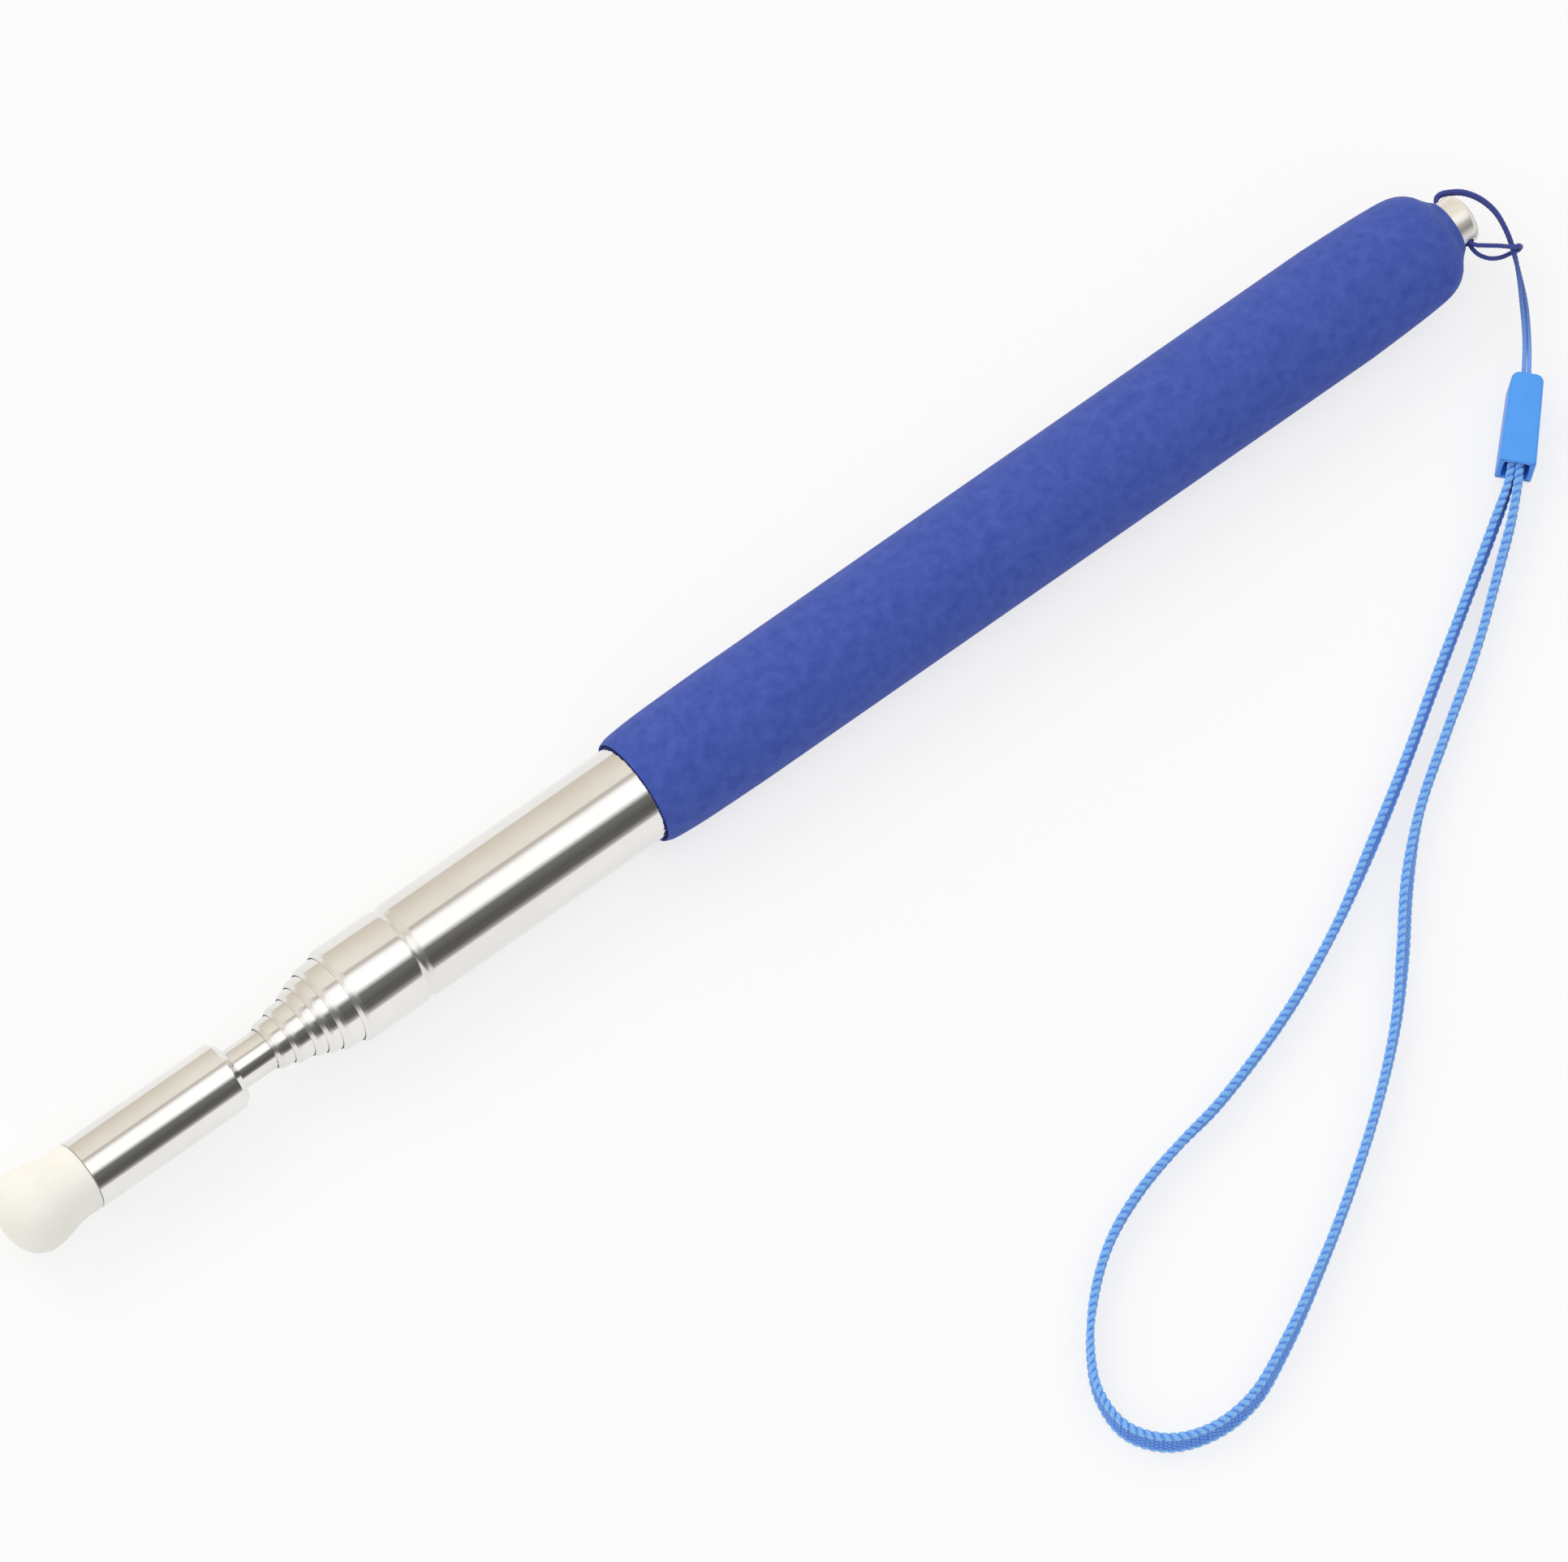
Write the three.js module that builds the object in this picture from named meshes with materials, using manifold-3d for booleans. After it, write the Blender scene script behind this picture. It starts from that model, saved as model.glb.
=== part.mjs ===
// Telescopic pointer pen with a wrist lanyard, closed, lying on its grip.
// Millimetres, +Z up, floor at z = 0. The pointer's axis runs along X, with the tip at -X,
// the tail stud at +X and X = 0 halfway between them.
//
// A place along the pointer is called its station: the X it has in the closed pointer. The
// front end is placed from the tip, the tail from the stud, and the grip spans between them.
// Seven tubes nest in each other. Each mouth is rolled in, and each sliding tube carries a
// split friction sleeve on its base that the mouth in front of it holds back.

import * as THREE from 'three';
import { mergeVertices } from 'three/addons/utils/BufferGeometryUtils.js';
import Module from 'manifold-3d';

const wasm = await Module();
wasm.setup();

// Whole pointer
const CLOSED_LENGTH = 227;
const TIP_END = -CLOSED_LENGTH / 2;
const TAIL_END = CLOSED_LENGTH / 2;

// Facets round the axis. Every radius is that of the true circle, which the facets touch.
const SIDES = 24;
const FACET_REACH = 1 / Math.cos(Math.PI / SIDES);

// Tubes, the outer one first. A reveal is what shows of a tube between its own mouth and the
// next piece's end, down to the ferrule.
const OUTER_TUBE_RADIUS = 6.6;
const TUBE_STEP = 0.64;
const TUBE_WALL = 0.25;
const REVEALS = [2.9, 1.8, 1.6, 2.5, 2.2, 5.15];
const SLIDING_TUBES = REVEALS.length;
const SMALL_TUBE_RADIUS = OUTER_TUBE_RADIUS - SLIDING_TUBES * TUBE_STEP;
const LIP_ROUND = 0.45;
const LIP_DEPTH = 1.2;
const LIP_CLEARANCE = 0.1;
const LIP_STEPS = 3;

// Ferrule, bush and tip
const TIP_LENGTH = 11.9;
const FERRULE_FRONT = TIP_END + TIP_LENGTH;
const FERRULE_LENGTH = 23.1;
const FERRULE_REAR = FERRULE_FRONT + FERRULE_LENGTH;
const FERRULE_STEP = 1.94;
const FERRULE_RADIUS = SMALL_TUBE_RADIUS + FERRULE_STEP;
const FERRULE_WALL = 0.5;
const FERRULE_NECK = 1.1;
const FERRULE_CHAMFER = 0.1;
const BUSH_FRONT_INSET = 4.6;
const BUSH_REAR_INSET = 2.4;
const BUSH_FRONT = FERRULE_FRONT + BUSH_FRONT_INSET;
const BUSH_REAR = FERRULE_REAR - BUSH_REAR_INSET;
const BUSH_CHAMFER = 0.6;
const PRESS_CLEARANCE = 0.06;
const SMALL_TUBE_INSET = 1;
const SMALL_TUBE_FRONT = BUSH_FRONT + SMALL_TUBE_INSET;
const TIP_BULB_SWELL = 0.85;
const TIP_BULB_RADIUS = FERRULE_RADIUS + TIP_BULB_SWELL;
const TIP_NOSE_LENGTH = 4.2;
const TIP_BULB_STATION = TIP_END + TIP_NOSE_LENGTH;
const TIP_ROOT_STEP = 0.1;
const TIP_ROOT_RADIUS = FERRULE_RADIUS - TIP_ROOT_STEP;
const TIP_NECK = 2;
const TIP_SPIGOT = 4.2;
const JOINT_GAP = 0.05;

// Rolled groove in the outer tube, the front stop of the second one
const OUTER_MOUTH = FERRULE_REAR + REVEALS.reduce((sum, reveal) => sum + reveal, 0);
const GROOVE_INSET = 10.25;
const GROOVE_STATION = OUTER_MOUTH + GROOVE_INSET;
const GROOVE_WIDTH = 1.9;
const GROOVE_DEPTH = 0.36;
const GROOVE_STEPS = 4;

// Grip sleeve
const OUTER_TUBE_REVEAL = 45.95;
const GRIP_WALL = 1.4;
const GRIP_RADIUS = OUTER_TUBE_RADIUS + GRIP_WALL;
const GRIP_FRONT = OUTER_MOUTH + OUTER_TUBE_REVEAL;
const GRIP_RIM_LENGTH = 15;
const GRIP_RIM_DROP = 0.65;
const GRIP_SHOULDER_LENGTH = 17.5;
const GRIP_SHOULDER_DROP = 4.35;
const GRIP_BORE_CLEARANCE = 0.08;
const GRIP_MOUTH_GAP = 0.45;
const GRIP_MOUTH_DEPTH = 2;
const AXIS_HEIGHT = GRIP_RADIUS;

// The flat that the soft sleeve lies on, along its underside wherever it is this near the floor
const REST_FLAT_WIDTH = 4.2;
const REST_FLAT_REACH = 0.9;

// Tail stud
const STUD_RADIUS = 3.3;
const STUD_LENGTH = 3.3;
const STUD_DOME = 1.4;
const GRIP_TAIL = TAIL_END - STUD_LENGTH;
const STUD_FACE_GAP = 0.05;
const SHANK_RADIUS = 2.1;
const SHANK_CLEARANCE = 0.06;
const SHANK_LENGTH = 30.2;
const SHANK_CHAMFER = 0.3;
const STRING_HOLE_INSET = 0.8;
const STRING_HOLE_STATION = GRIP_TAIL + STRING_HOLE_INSET;
const STRING_HOLE_RADIUS = 0.72;

// Tail plug, which all the sliding tubes meet when they are pushed in
const OUTER_TUBE_INSET = 14.2;
const OUTER_TUBE_REAR = GRIP_TAIL - OUTER_TUBE_INSET;
const PLUG_LENGTH = 23.2;
const PLUG_FRONT = OUTER_TUBE_REAR - PLUG_LENGTH;
const PLUG_CLEARANCE = 0.05;
const PLUG_FLANGE = 1.2;
const PLUG_CHAMFER = 0.4;

// Friction sleeves on the bases of the sliding tubes
const PLUG_SEAT_GAP = 0.3;
const TUBES_REAR = PLUG_FRONT - PLUG_SEAT_GAP;
const SLEEVE_LENGTH = 8;
const SLEEVE_SETBACK = 0.5;
const SLEEVE_STATION = TUBES_REAR - SLEEVE_SETBACK - SLEEVE_LENGTH / 2;
const SLEEVE_FIT = 0.04;
const SLEEVE_RUNNING = 0.08;
const SLEEVE_CHAMFER = 0.12;
const SLEEVE_SLOT = 1;
const BOSS_RADIUS = 0.5;
const BOSS_CLEARANCE = 0.12;

// Lanyard
const STRING_RADIUS = 0.3;
const STRAP_WIDTH = 4;
const STRAP_THICKNESS = 0.9;
const STRAP_CORNER = 0.25;
const CORD_SIDES = 8;
const STRING_STEPS = 80;
const STRAP_STEPS = 80;

// Clip: its own X runs from the string end to the open mouth, its Z is up. Its place and the
// point it aims at are X from the stud's hole, and Y.
const CLIP_ORIGIN = [-4.55, -20.7];
const CLIP_MOUTH_AIM = [-12.95, -29.5];
const CLIP_LENGTH = 12.2;
const CLIP_HEIGHT = 5.8;
const CLIP_END_WIDTH = 4;
const CLIP_MOUTH_WIDTH = 4.6;
const CLIP_CORNER = 1;
const CLIP_EDGE = 0.4;
const CLIP_ROLL = THREE.MathUtils.degToRad(7);
const CLIP_END_WALL = 1;
const CLIP_CAVITY_WIDTH = 3.2;
const CLIP_CAVITY_HEIGHT = 4.3;
const CLIP_STRING_HOLE = 0.8;
const CLIP_REST_GAP = 0.02;
const CRIMP_START = 3;
const CRIMP_LENGTH = 5.5;
const CRIMP_SHEET = 0.3;
const CRIMP_INSIDE = 2.1;
const CRIMP_HEIGHT = 3.8;

// The string's route, one loop hitched through the stud: from the clip up to the hitch,
// over to the far side of the stud, through its hole, round the two standing strands,
// back through the hole and down to the clip again. Each point gives X from the stud's hole,
// Y, and how far it has climbed: 0 at the height of the clip's axis, 1 at the pointer's.
const STRING_ROUTE = [
  [-6.35, -22.05, 0],
  [-4.8, -20.45, 0],
  [-3.65, -19.2, 0.041],
  [-1.3, -16.05, 0.165],
  [1.1, -12.2, 0.309],
  [2.95, -9.3, 0.433],
  [4.5, -6.35, 0.571],
  [5.2, -3.9, 0.726],
  [5.4, -1.4, 0.88],
  [4.8, 0.8, 1],
  [3.6, 2.6, 1.066],
  [2.2, 3.65, 1.066],
  [1.1, 4.1, 1.066],
  [0.3, 3.9, 1.066],
  [0, 3.1, 1.066],
  [0, 0, 1.066],
  [0, -3.1, 1.066],
  [0.35, -4, 1.062],
  [1.4, -4.6, 0.948],
  [3, -5.5, 0.814],
  [4.4, -6.5, 0.728],
  [5.15, -6.7, 0.67],
  [5.45, -6.7, 0.505],
  [5.15, -6.55, 0.34],
  [4.4, -6.25, 0.278],
  [2.8, -6.1, 0.371],
  [1.4, -5.7, 0.546],
  [0.4, -4.9, 0.732],
  [0, -4.1, 0.876],
  [0, -3.1, 0.934],
  [0, 0, 0.934],
  [0, 3.1, 0.934],
  [0.3, 3.9, 0.934],
  [1.1, 4.1, 0.934],
  [2.2, 3.65, 0.934],
  [3.6, 2.6, 0.934],
  [4.8, 0.8, 0.868],
  [5.4, -1.4, 0.748],
  [5.2, -3.9, 0.594],
  [4.5, -6.25, 0.439],
  [3.1, -9.4, 0.303],
  [1.5, -12.55, 0.216],
  [-0.8, -16.3, 0.103],
  [-3.2, -19.65, 0.021],
  [-4.3, -20.9, 0],
  [-5.85, -22.5, 0],
];

// The strap's route, one flat braid standing on edge: out of the clip on one side, round
// the loop on the floor, and back in on the other side. X from the stud's hole, and Y.
const STRAP_ROUTE = [
  [-7.53, -23.1],
  [-13.4, -29.25],
  [-15.2, -30.85],
  [-19.4, -33.7],
  [-29.1, -40],
  [-38.8, -46.4],
  [-48.5, -52.9],
  [-58.4, -59.1],
  [-68.7, -65.1],
  [-79.9, -70.3],
  [-93.9, -74.9],
  [-101, -76.3],
  [-108.6, -78.3],
  [-115.8, -81.5],
  [-122.1, -86.4],
  [-126.6, -91.6],
  [-129.5, -97.2],
  [-129.7, -102.9],
  [-126.6, -107.3],
  [-121.4, -109.4],
  [-115, -109.1],
  [-107.1, -105.6],
  [-96.3, -99.3],
  [-86.6, -92.9],
  [-77.9, -86.4],
  [-70, -79.5],
  [-63.6, -72.6],
  [-57.3, -65.3],
  [-50.1, -58.5],
  [-40.7, -51.9],
  [-31, -45.3],
  [-22.1, -38.3],
  [-17.7, -34.8],
  [-14.2, -31.55],
  [-12.65, -29.95],
  [-6.8, -23.8],
];
const STRAP_FLOOR_GAP = 0.1;
const STRAP_RAMP = 14;

// Materials

function nickel() {
  return new THREE.MeshStandardMaterial({ color: '#d9d6d0', roughness: 0.12, metalness: 1 });
}

function brass() {
  return new THREE.MeshStandardMaterial({ color: '#c9a55a', roughness: 0.35, metalness: 1 });
}

function steel() {
  return new THREE.MeshStandardMaterial({ color: '#a9abad', roughness: 0.3, metalness: 1 });
}

function gripRubber() {
  return new THREE.MeshStandardMaterial({ color: '#44559e', roughness: 0.8, metalness: 0 });
}

function plugPlastic() {
  return new THREE.MeshStandardMaterial({ color: '#2c2d31', roughness: 0.5, metalness: 0 });
}

function creamRubber() {
  return new THREE.MeshStandardMaterial({ color: '#f6f3e6', roughness: 0.55, metalness: 0 });
}

function clipPlastic() {
  return new THREE.MeshStandardMaterial({ color: '#5ba0f6', roughness: 0.4, metalness: 0 });
}

function strapBraid() {
  return new THREE.MeshStandardMaterial({ color: '#5590e8', roughness: 0.85, metalness: 0 });
}

function stringCord() {
  return new THREE.MeshStandardMaterial({ color: '#3f4c96', roughness: 0.7, metalness: 0 });
}

// Solids: geometry in, geometry out, with cuts and joins between

function toSolid(geometry) {
  const bare = geometry.clone();
  bare.deleteAttribute('normal');
  bare.deleteAttribute('uv');
  const merged = mergeVertices(bare);
  return new wasm.Manifold(new wasm.Mesh({
    numProp: 3,
    vertProperties: new Float32Array(merged.attributes.position.array),
    triVerts: new Uint32Array(merged.index.array),
  }));
}

function toGeometry(solid) {
  const mesh = solid.getMesh();
  const geometry = new THREE.BufferGeometry();
  geometry.setAttribute('position', new THREE.BufferAttribute(new Float32Array(mesh.vertProperties), 3));
  geometry.setIndex(new THREE.BufferAttribute(new Uint32Array(mesh.triVerts), 1));
  geometry.computeVertexNormals();
  return geometry;
}

// A body turned round the pointer's axis. The outline holds [station, radius] pairs, from the
// front to the tail along the outside and back along the bore, or from axis to axis.
function turned(outline) {
  const points = outline.map(([station, radius]) => new THREE.Vector2(radius * FACET_REACH, station));
  return new THREE.LatheGeometry(points, SIDES, Math.PI / SIDES);
}

function ring(outline) {
  return turned([...outline, outline[0]]);
}

// A round bar square to the pointer's axis, along world Y, from one reach to another.
function crossBar(radius, from, to, station, sides) {
  const bar = new THREE.CylinderGeometry(radius, radius, to - from, sides);
  bar.rotateZ(Math.PI / 2);
  bar.translate((from + to) / 2, station, 0);
  return bar;
}

// Tubes

function tubeSections() {
  const sections = [];
  let mouth = OUTER_MOUTH;
  for (let index = 0; index <= SLIDING_TUBES; index += 1) {
    const smallest = index === SLIDING_TUBES;
    sections.push({
      radius: OUTER_TUBE_RADIUS - index * TUBE_STEP,
      mouth: smallest ? SMALL_TUBE_FRONT : mouth,
      rear: index === 0 ? OUTER_TUBE_REAR : TUBES_REAR,
      lipped: !smallest,
      grooved: index === 0,
    });
    mouth -= REVEALS[index];
  }
  return sections;
}

const SECTIONS = tubeSections();

// The rolled groove as a smooth dip of the wall, on the outside or on the bore.
function grooveDip(radius) {
  const dip = [];
  for (let step = 0; step <= GROOVE_STEPS; step += 1) {
    const turn = (step / GROOVE_STEPS) * 2 * Math.PI;
    const station = GROOVE_STATION + (step / GROOVE_STEPS - 0.5) * GROOVE_WIDTH;
    dip.push([station, radius - GROOVE_DEPTH * (1 - Math.cos(turn)) / 2]);
  }
  return dip;
}

function lipRound(mouth, radius) {
  const round = [];
  for (let step = 0; step <= LIP_STEPS; step += 1) {
    const turn = (step / LIP_STEPS) * Math.PI / 2;
    round.push([
      mouth + LIP_ROUND * (1 - Math.cos(turn)),
      radius - LIP_ROUND * (1 - Math.sin(turn)),
    ]);
  }
  return round;
}

function tubeGeometry({ radius, mouth, rear, lipped, grooved }) {
  const bore = radius - TUBE_WALL;
  const throat = radius - TUBE_STEP + LIP_CLEARANCE;
  const outside = lipped ? [[mouth, throat], ...lipRound(mouth, radius)] : [[mouth, radius]];
  const inside = lipped ? [[mouth + LIP_DEPTH, bore], [mouth + LIP_DEPTH / 2, throat]] : [[mouth, bore]];
  if (grooved) {
    outside.push(...grooveDip(radius));
    inside.unshift(...grooveDip(bore).reverse());
  }
  return ring([...outside, [rear, radius], [rear, bore], ...inside]);
}

// Two holes in the tube's wall take the bosses of its friction sleeve.
function slidingTubeGeometry(section) {
  const reach = section.radius + 1;
  const holes = toSolid(crossBar(BOSS_RADIUS + BOSS_CLEARANCE, -reach, reach, SLEEVE_STATION, 10));
  return toGeometry(toSolid(tubeGeometry(section)).subtract(holes));
}

// A springy C-shaped sleeve round the base of a tube, slotted on the top or the bottom.
function frictionSleeveGeometry(section, slotSide) {
  const bore = section.radius + SLEEVE_FIT;
  const outer = section.radius + TUBE_STEP - TUBE_WALL - SLEEVE_RUNNING;
  const front = SLEEVE_STATION - SLEEVE_LENGTH / 2;
  const rear = SLEEVE_STATION + SLEEVE_LENGTH / 2;
  const band = ring([
    [front, bore],
    [front, outer - SLEEVE_CHAMFER],
    [front + SLEEVE_CHAMFER * 2, outer],
    [rear - SLEEVE_CHAMFER * 2, outer],
    [rear, outer - SLEEVE_CHAMFER],
    [rear, bore],
  ]);
  const slot = new THREE.BoxGeometry(SLEEVE_SLOT, SLEEVE_LENGTH + 1, outer);
  slot.translate(0, SLEEVE_STATION, slotSide * (bore + outer / 2 - 0.5));
  const bossTip = section.radius - TUBE_WALL * 0.8;
  const bossRoot = (bore + outer) / 2;
  const left = crossBar(BOSS_RADIUS, -bossRoot, -bossTip, SLEEVE_STATION, 10);
  const right = crossBar(BOSS_RADIUS, bossTip, bossRoot, SLEEVE_STATION, 10);
  return toGeometry(toSolid(band).subtract(toSolid(slot)).add(toSolid(left)).add(toSolid(right)));
}

// Handle

// Spreads the lowest facet of the sleeve to the width of the flat that it lies on.
function flattenUnderside(geometry) {
  const position = geometry.attributes.position;
  const lowestFacet = AXIS_HEIGHT * Math.tan(Math.PI / SIDES);
  for (let index = 0; index < position.count; index += 1) {
    const side = position.getX(index);
    const depth = -position.getZ(index);
    const nearFloor = depth > AXIS_HEIGHT - REST_FLAT_REACH;
    if (nearFloor && Math.abs(side) < 1.1 * lowestFacet) {
      position.setX(index, (Math.sign(side) * REST_FLAT_WIDTH * depth) / (2 * AXIS_HEIGHT));
    }
  }
  geometry.computeVertexNormals();
  return geometry;
}

// The front rim rolls over in a short round and swells slowly to the full radius. The tail
// draws in like a bottle's shoulder and ends in a short collar round the stud. The points of
// both are shares of their length and of their drop from the full radius.
function gripGeometry() {
  const bore = OUTER_TUBE_RADIUS + GRIP_BORE_CLEARANCE;
  const floor = OUTER_TUBE_REAR + PLUG_FLANGE + 2 * JOINT_GAP;
  const shank = SHANK_RADIUS + SHANK_CLEARANCE;
  const rim = [[0, 1.3], [0.02, 1], [0.11, 0.65], [0.32, 0.31], [0.65, 0.12], [1, 0]];
  const shoulder = [[1, 0], [0.72, 0.04], [0.43, 0.1], [0.27, 0.17], [0.19, 0.28]];
  const collar = [[0.125, 0.46], [0.085, 0.67], [0.05, 0.84], [0.023, 0.94], [0, 1]];
  const sleeve = ring([
    [GRIP_FRONT, OUTER_TUBE_RADIUS + GRIP_MOUTH_GAP],
    ...rim.map(([inward, drop]) => [
      GRIP_FRONT + inward * GRIP_RIM_LENGTH,
      GRIP_RADIUS - drop * GRIP_RIM_DROP,
    ]),
    ...[...shoulder, ...collar].map(([inward, drop]) => [
      GRIP_TAIL - inward * GRIP_SHOULDER_LENGTH,
      GRIP_RADIUS - drop * GRIP_SHOULDER_DROP,
    ]),
    [GRIP_TAIL, shank],
    [floor, shank],
    [floor, bore],
    [GRIP_FRONT + GRIP_MOUTH_DEPTH, bore],
  ]);
  return flattenUnderside(sleeve);
}

function tailPlugGeometry() {
  const body = OUTER_TUBE_RADIUS - TUBE_WALL - PLUG_CLEARANCE;
  const bore = SHANK_RADIUS + SHANK_CLEARANCE;
  const flange = OUTER_TUBE_REAR + JOINT_GAP;
  return ring([
    [PLUG_FRONT, bore],
    [PLUG_FRONT, body - PLUG_CHAMFER],
    [PLUG_FRONT + 2 * PLUG_CHAMFER, body],
    [flange, body],
    [flange, OUTER_TUBE_RADIUS],
    [flange + PLUG_FLANGE, OUTER_TUBE_RADIUS],
    [flange + PLUG_FLANGE, bore],
  ]);
}

function tailStudGeometry() {
  const face = GRIP_TAIL + STUD_FACE_GAP;
  const front = GRIP_TAIL - SHANK_LENGTH;
  const edge = TAIL_END - STUD_DOME;
  const outline = [
    [front, 0],
    [front, SHANK_RADIUS - SHANK_CHAMFER],
    [front + SHANK_CHAMFER, SHANK_RADIUS],
    [face, SHANK_RADIUS],
    [face, STUD_RADIUS],
  ];
  const domeSteps = 5;
  for (let step = 0; step <= domeSteps; step += 1) {
    const turn = (step / domeSteps) * Math.PI / 2;
    const rise = STUD_DOME * Math.sin(turn);
    outline.push([edge + rise, step === domeSteps ? 0 : STUD_RADIUS * Math.cos(turn)]);
  }
  const reach = STUD_RADIUS + 1;
  const hole = crossBar(STRING_HOLE_RADIUS, -reach, reach, STRING_HOLE_STATION, 12);
  return toGeometry(toSolid(turned(outline)).subtract(toSolid(hole)));
}

// Front end

// The ferrule's rear end is necked down onto the smallest tube in a rounded shoulder.
function ferruleGeometry() {
  const bore = FERRULE_RADIUS - FERRULE_WALL;
  const neck = SMALL_TUBE_RADIUS + LIP_CLEARANCE;
  const shoulder = [[1, 0], [0.6, 0.15], [0.25, 0.65], [0.1, 1.2]];
  return ring([
    [FERRULE_FRONT, bore],
    [FERRULE_FRONT, FERRULE_RADIUS - FERRULE_CHAMFER],
    [FERRULE_FRONT + FERRULE_CHAMFER, FERRULE_RADIUS],
    ...shoulder.map(([share, drop]) => [FERRULE_REAR - FERRULE_NECK * share, FERRULE_RADIUS - drop]),
    [FERRULE_REAR, neck + 2 * FERRULE_CHAMFER],
    [FERRULE_REAR, neck],
    [FERRULE_REAR - FERRULE_NECK * 0.7, neck],
    [FERRULE_REAR - FERRULE_NECK * 1.1, bore - FERRULE_WALL],
    [FERRULE_REAR - FERRULE_NECK * 1.6, bore],
  ]);
}

function ferruleBushGeometry() {
  const body = FERRULE_RADIUS - FERRULE_WALL - PRESS_CLEARANCE;
  const bore = SMALL_TUBE_RADIUS + PRESS_CLEARANCE;
  return ring([
    [BUSH_FRONT, bore],
    [BUSH_FRONT, body],
    [BUSH_REAR, body],
    [BUSH_REAR + BUSH_CHAMFER, body - BUSH_CHAMFER],
    [BUSH_REAR + BUSH_CHAMFER, bore],
  ]);
}

function tipGeometry() {
  const root = FERRULE_FRONT - JOINT_GAP;
  const spigot = FERRULE_RADIUS - FERRULE_WALL - PRESS_CLEARANCE;
  const outline = [];
  const noseSteps = 6;
  for (let step = 0; step <= noseSteps; step += 1) {
    const turn = (step / noseSteps) * Math.PI / 2;
    const reach = (TIP_BULB_STATION - TIP_END) * Math.cos(turn);
    outline.push([TIP_BULB_STATION - reach, step === 0 ? 0 : TIP_BULB_RADIUS * Math.sin(turn) ** 0.9]);
  }
  const waistSteps = 4;
  const waist = root - TIP_NECK - TIP_BULB_STATION;
  for (let step = 1; step <= waistSteps; step += 1) {
    const turn = (step / waistSteps) * Math.PI;
    const swell = (TIP_BULB_RADIUS - TIP_ROOT_RADIUS) * (1 + Math.cos(turn)) / 2;
    outline.push([TIP_BULB_STATION + waist * step / waistSteps, TIP_ROOT_RADIUS + swell]);
  }
  outline.push([root, TIP_ROOT_RADIUS], [root, spigot], [root + TIP_SPIGOT, spigot], [root + TIP_SPIGOT, 0]);
  return turned(outline);
}

// Lanyard

function routeCurve(route) {
  return new THREE.CatmullRomCurve3(route.map((point) => new THREE.Vector3(...point)), false, 'centripetal');
}

function stringGeometry() {
  const section = new THREE.Shape();
  for (let side = 0; side < CORD_SIDES; side += 1) {
    const turn = (side / CORD_SIDES) * 2 * Math.PI;
    const point = [STRING_RADIUS * Math.cos(turn), STRING_RADIUS * Math.sin(turn)];
    if (side === 0) {
      section.moveTo(...point);
    } else {
      section.lineTo(...point);
    }
  }
  section.closePath();
  const low = clipAxisHeight();
  const route = STRING_ROUTE.map(([x, y, climb]) => [x, y, low + (AXIS_HEIGHT - low) * climb]);
  return new THREE.ExtrudeGeometry(section, { steps: STRING_STEPS, extrudePath: routeCurve(route) });
}

// Height of the strap's middle above the floor: level with the clip's axis at both ends and
// down on its edge along the loop.
function strapHeight(fromEnd) {
  const low = STRAP_WIDTH / 2 + STRAP_FLOOR_GAP;
  const rise = clipAxisHeight() - low;
  const share = Math.min(Math.max((fromEnd - CLIP_LENGTH) / STRAP_RAMP, 0), 1);
  return low + rise * (1 + Math.cos(Math.PI * share)) / 2;
}

function strapRoute() {
  const lengths = [0];
  for (let index = 1; index < STRAP_ROUTE.length; index += 1) {
    const [fromX, fromY] = STRAP_ROUTE[index - 1];
    const [toX, toY] = STRAP_ROUTE[index];
    lengths.push(lengths[index - 1] + Math.hypot(toX - fromX, toY - fromY));
  }
  const total = lengths[lengths.length - 1];
  return STRAP_ROUTE.map(([x, y], index) => {
    const fromEnd = Math.min(lengths[index], total - lengths[index]);
    return [x, y, strapHeight(fromEnd)];
  });
}

function strapGeometry() {
  const halfWidth = STRAP_WIDTH / 2;
  const halfThick = STRAP_THICKNESS / 2;
  const section = new THREE.Shape();
  section.moveTo(halfWidth - STRAP_CORNER, -halfThick);
  section.lineTo(halfWidth, -halfThick + STRAP_CORNER);
  section.lineTo(halfWidth, halfThick - STRAP_CORNER);
  section.lineTo(halfWidth - STRAP_CORNER, halfThick);
  section.lineTo(-halfWidth + STRAP_CORNER, halfThick);
  section.lineTo(-halfWidth, halfThick - STRAP_CORNER);
  section.lineTo(-halfWidth, -halfThick + STRAP_CORNER);
  section.lineTo(-halfWidth + STRAP_CORNER, -halfThick);
  section.closePath();
  return new THREE.ExtrudeGeometry(section, { steps: STRAP_STEPS, extrudePath: routeCurve(strapRoute()) });
}

function clipAxisHeight() {
  const lowCorner = CLIP_HEIGHT / 2 * Math.cos(CLIP_ROLL) + CLIP_MOUTH_WIDTH / 2 * Math.sin(CLIP_ROLL);
  return lowCorner + CLIP_REST_GAP;
}

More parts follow.
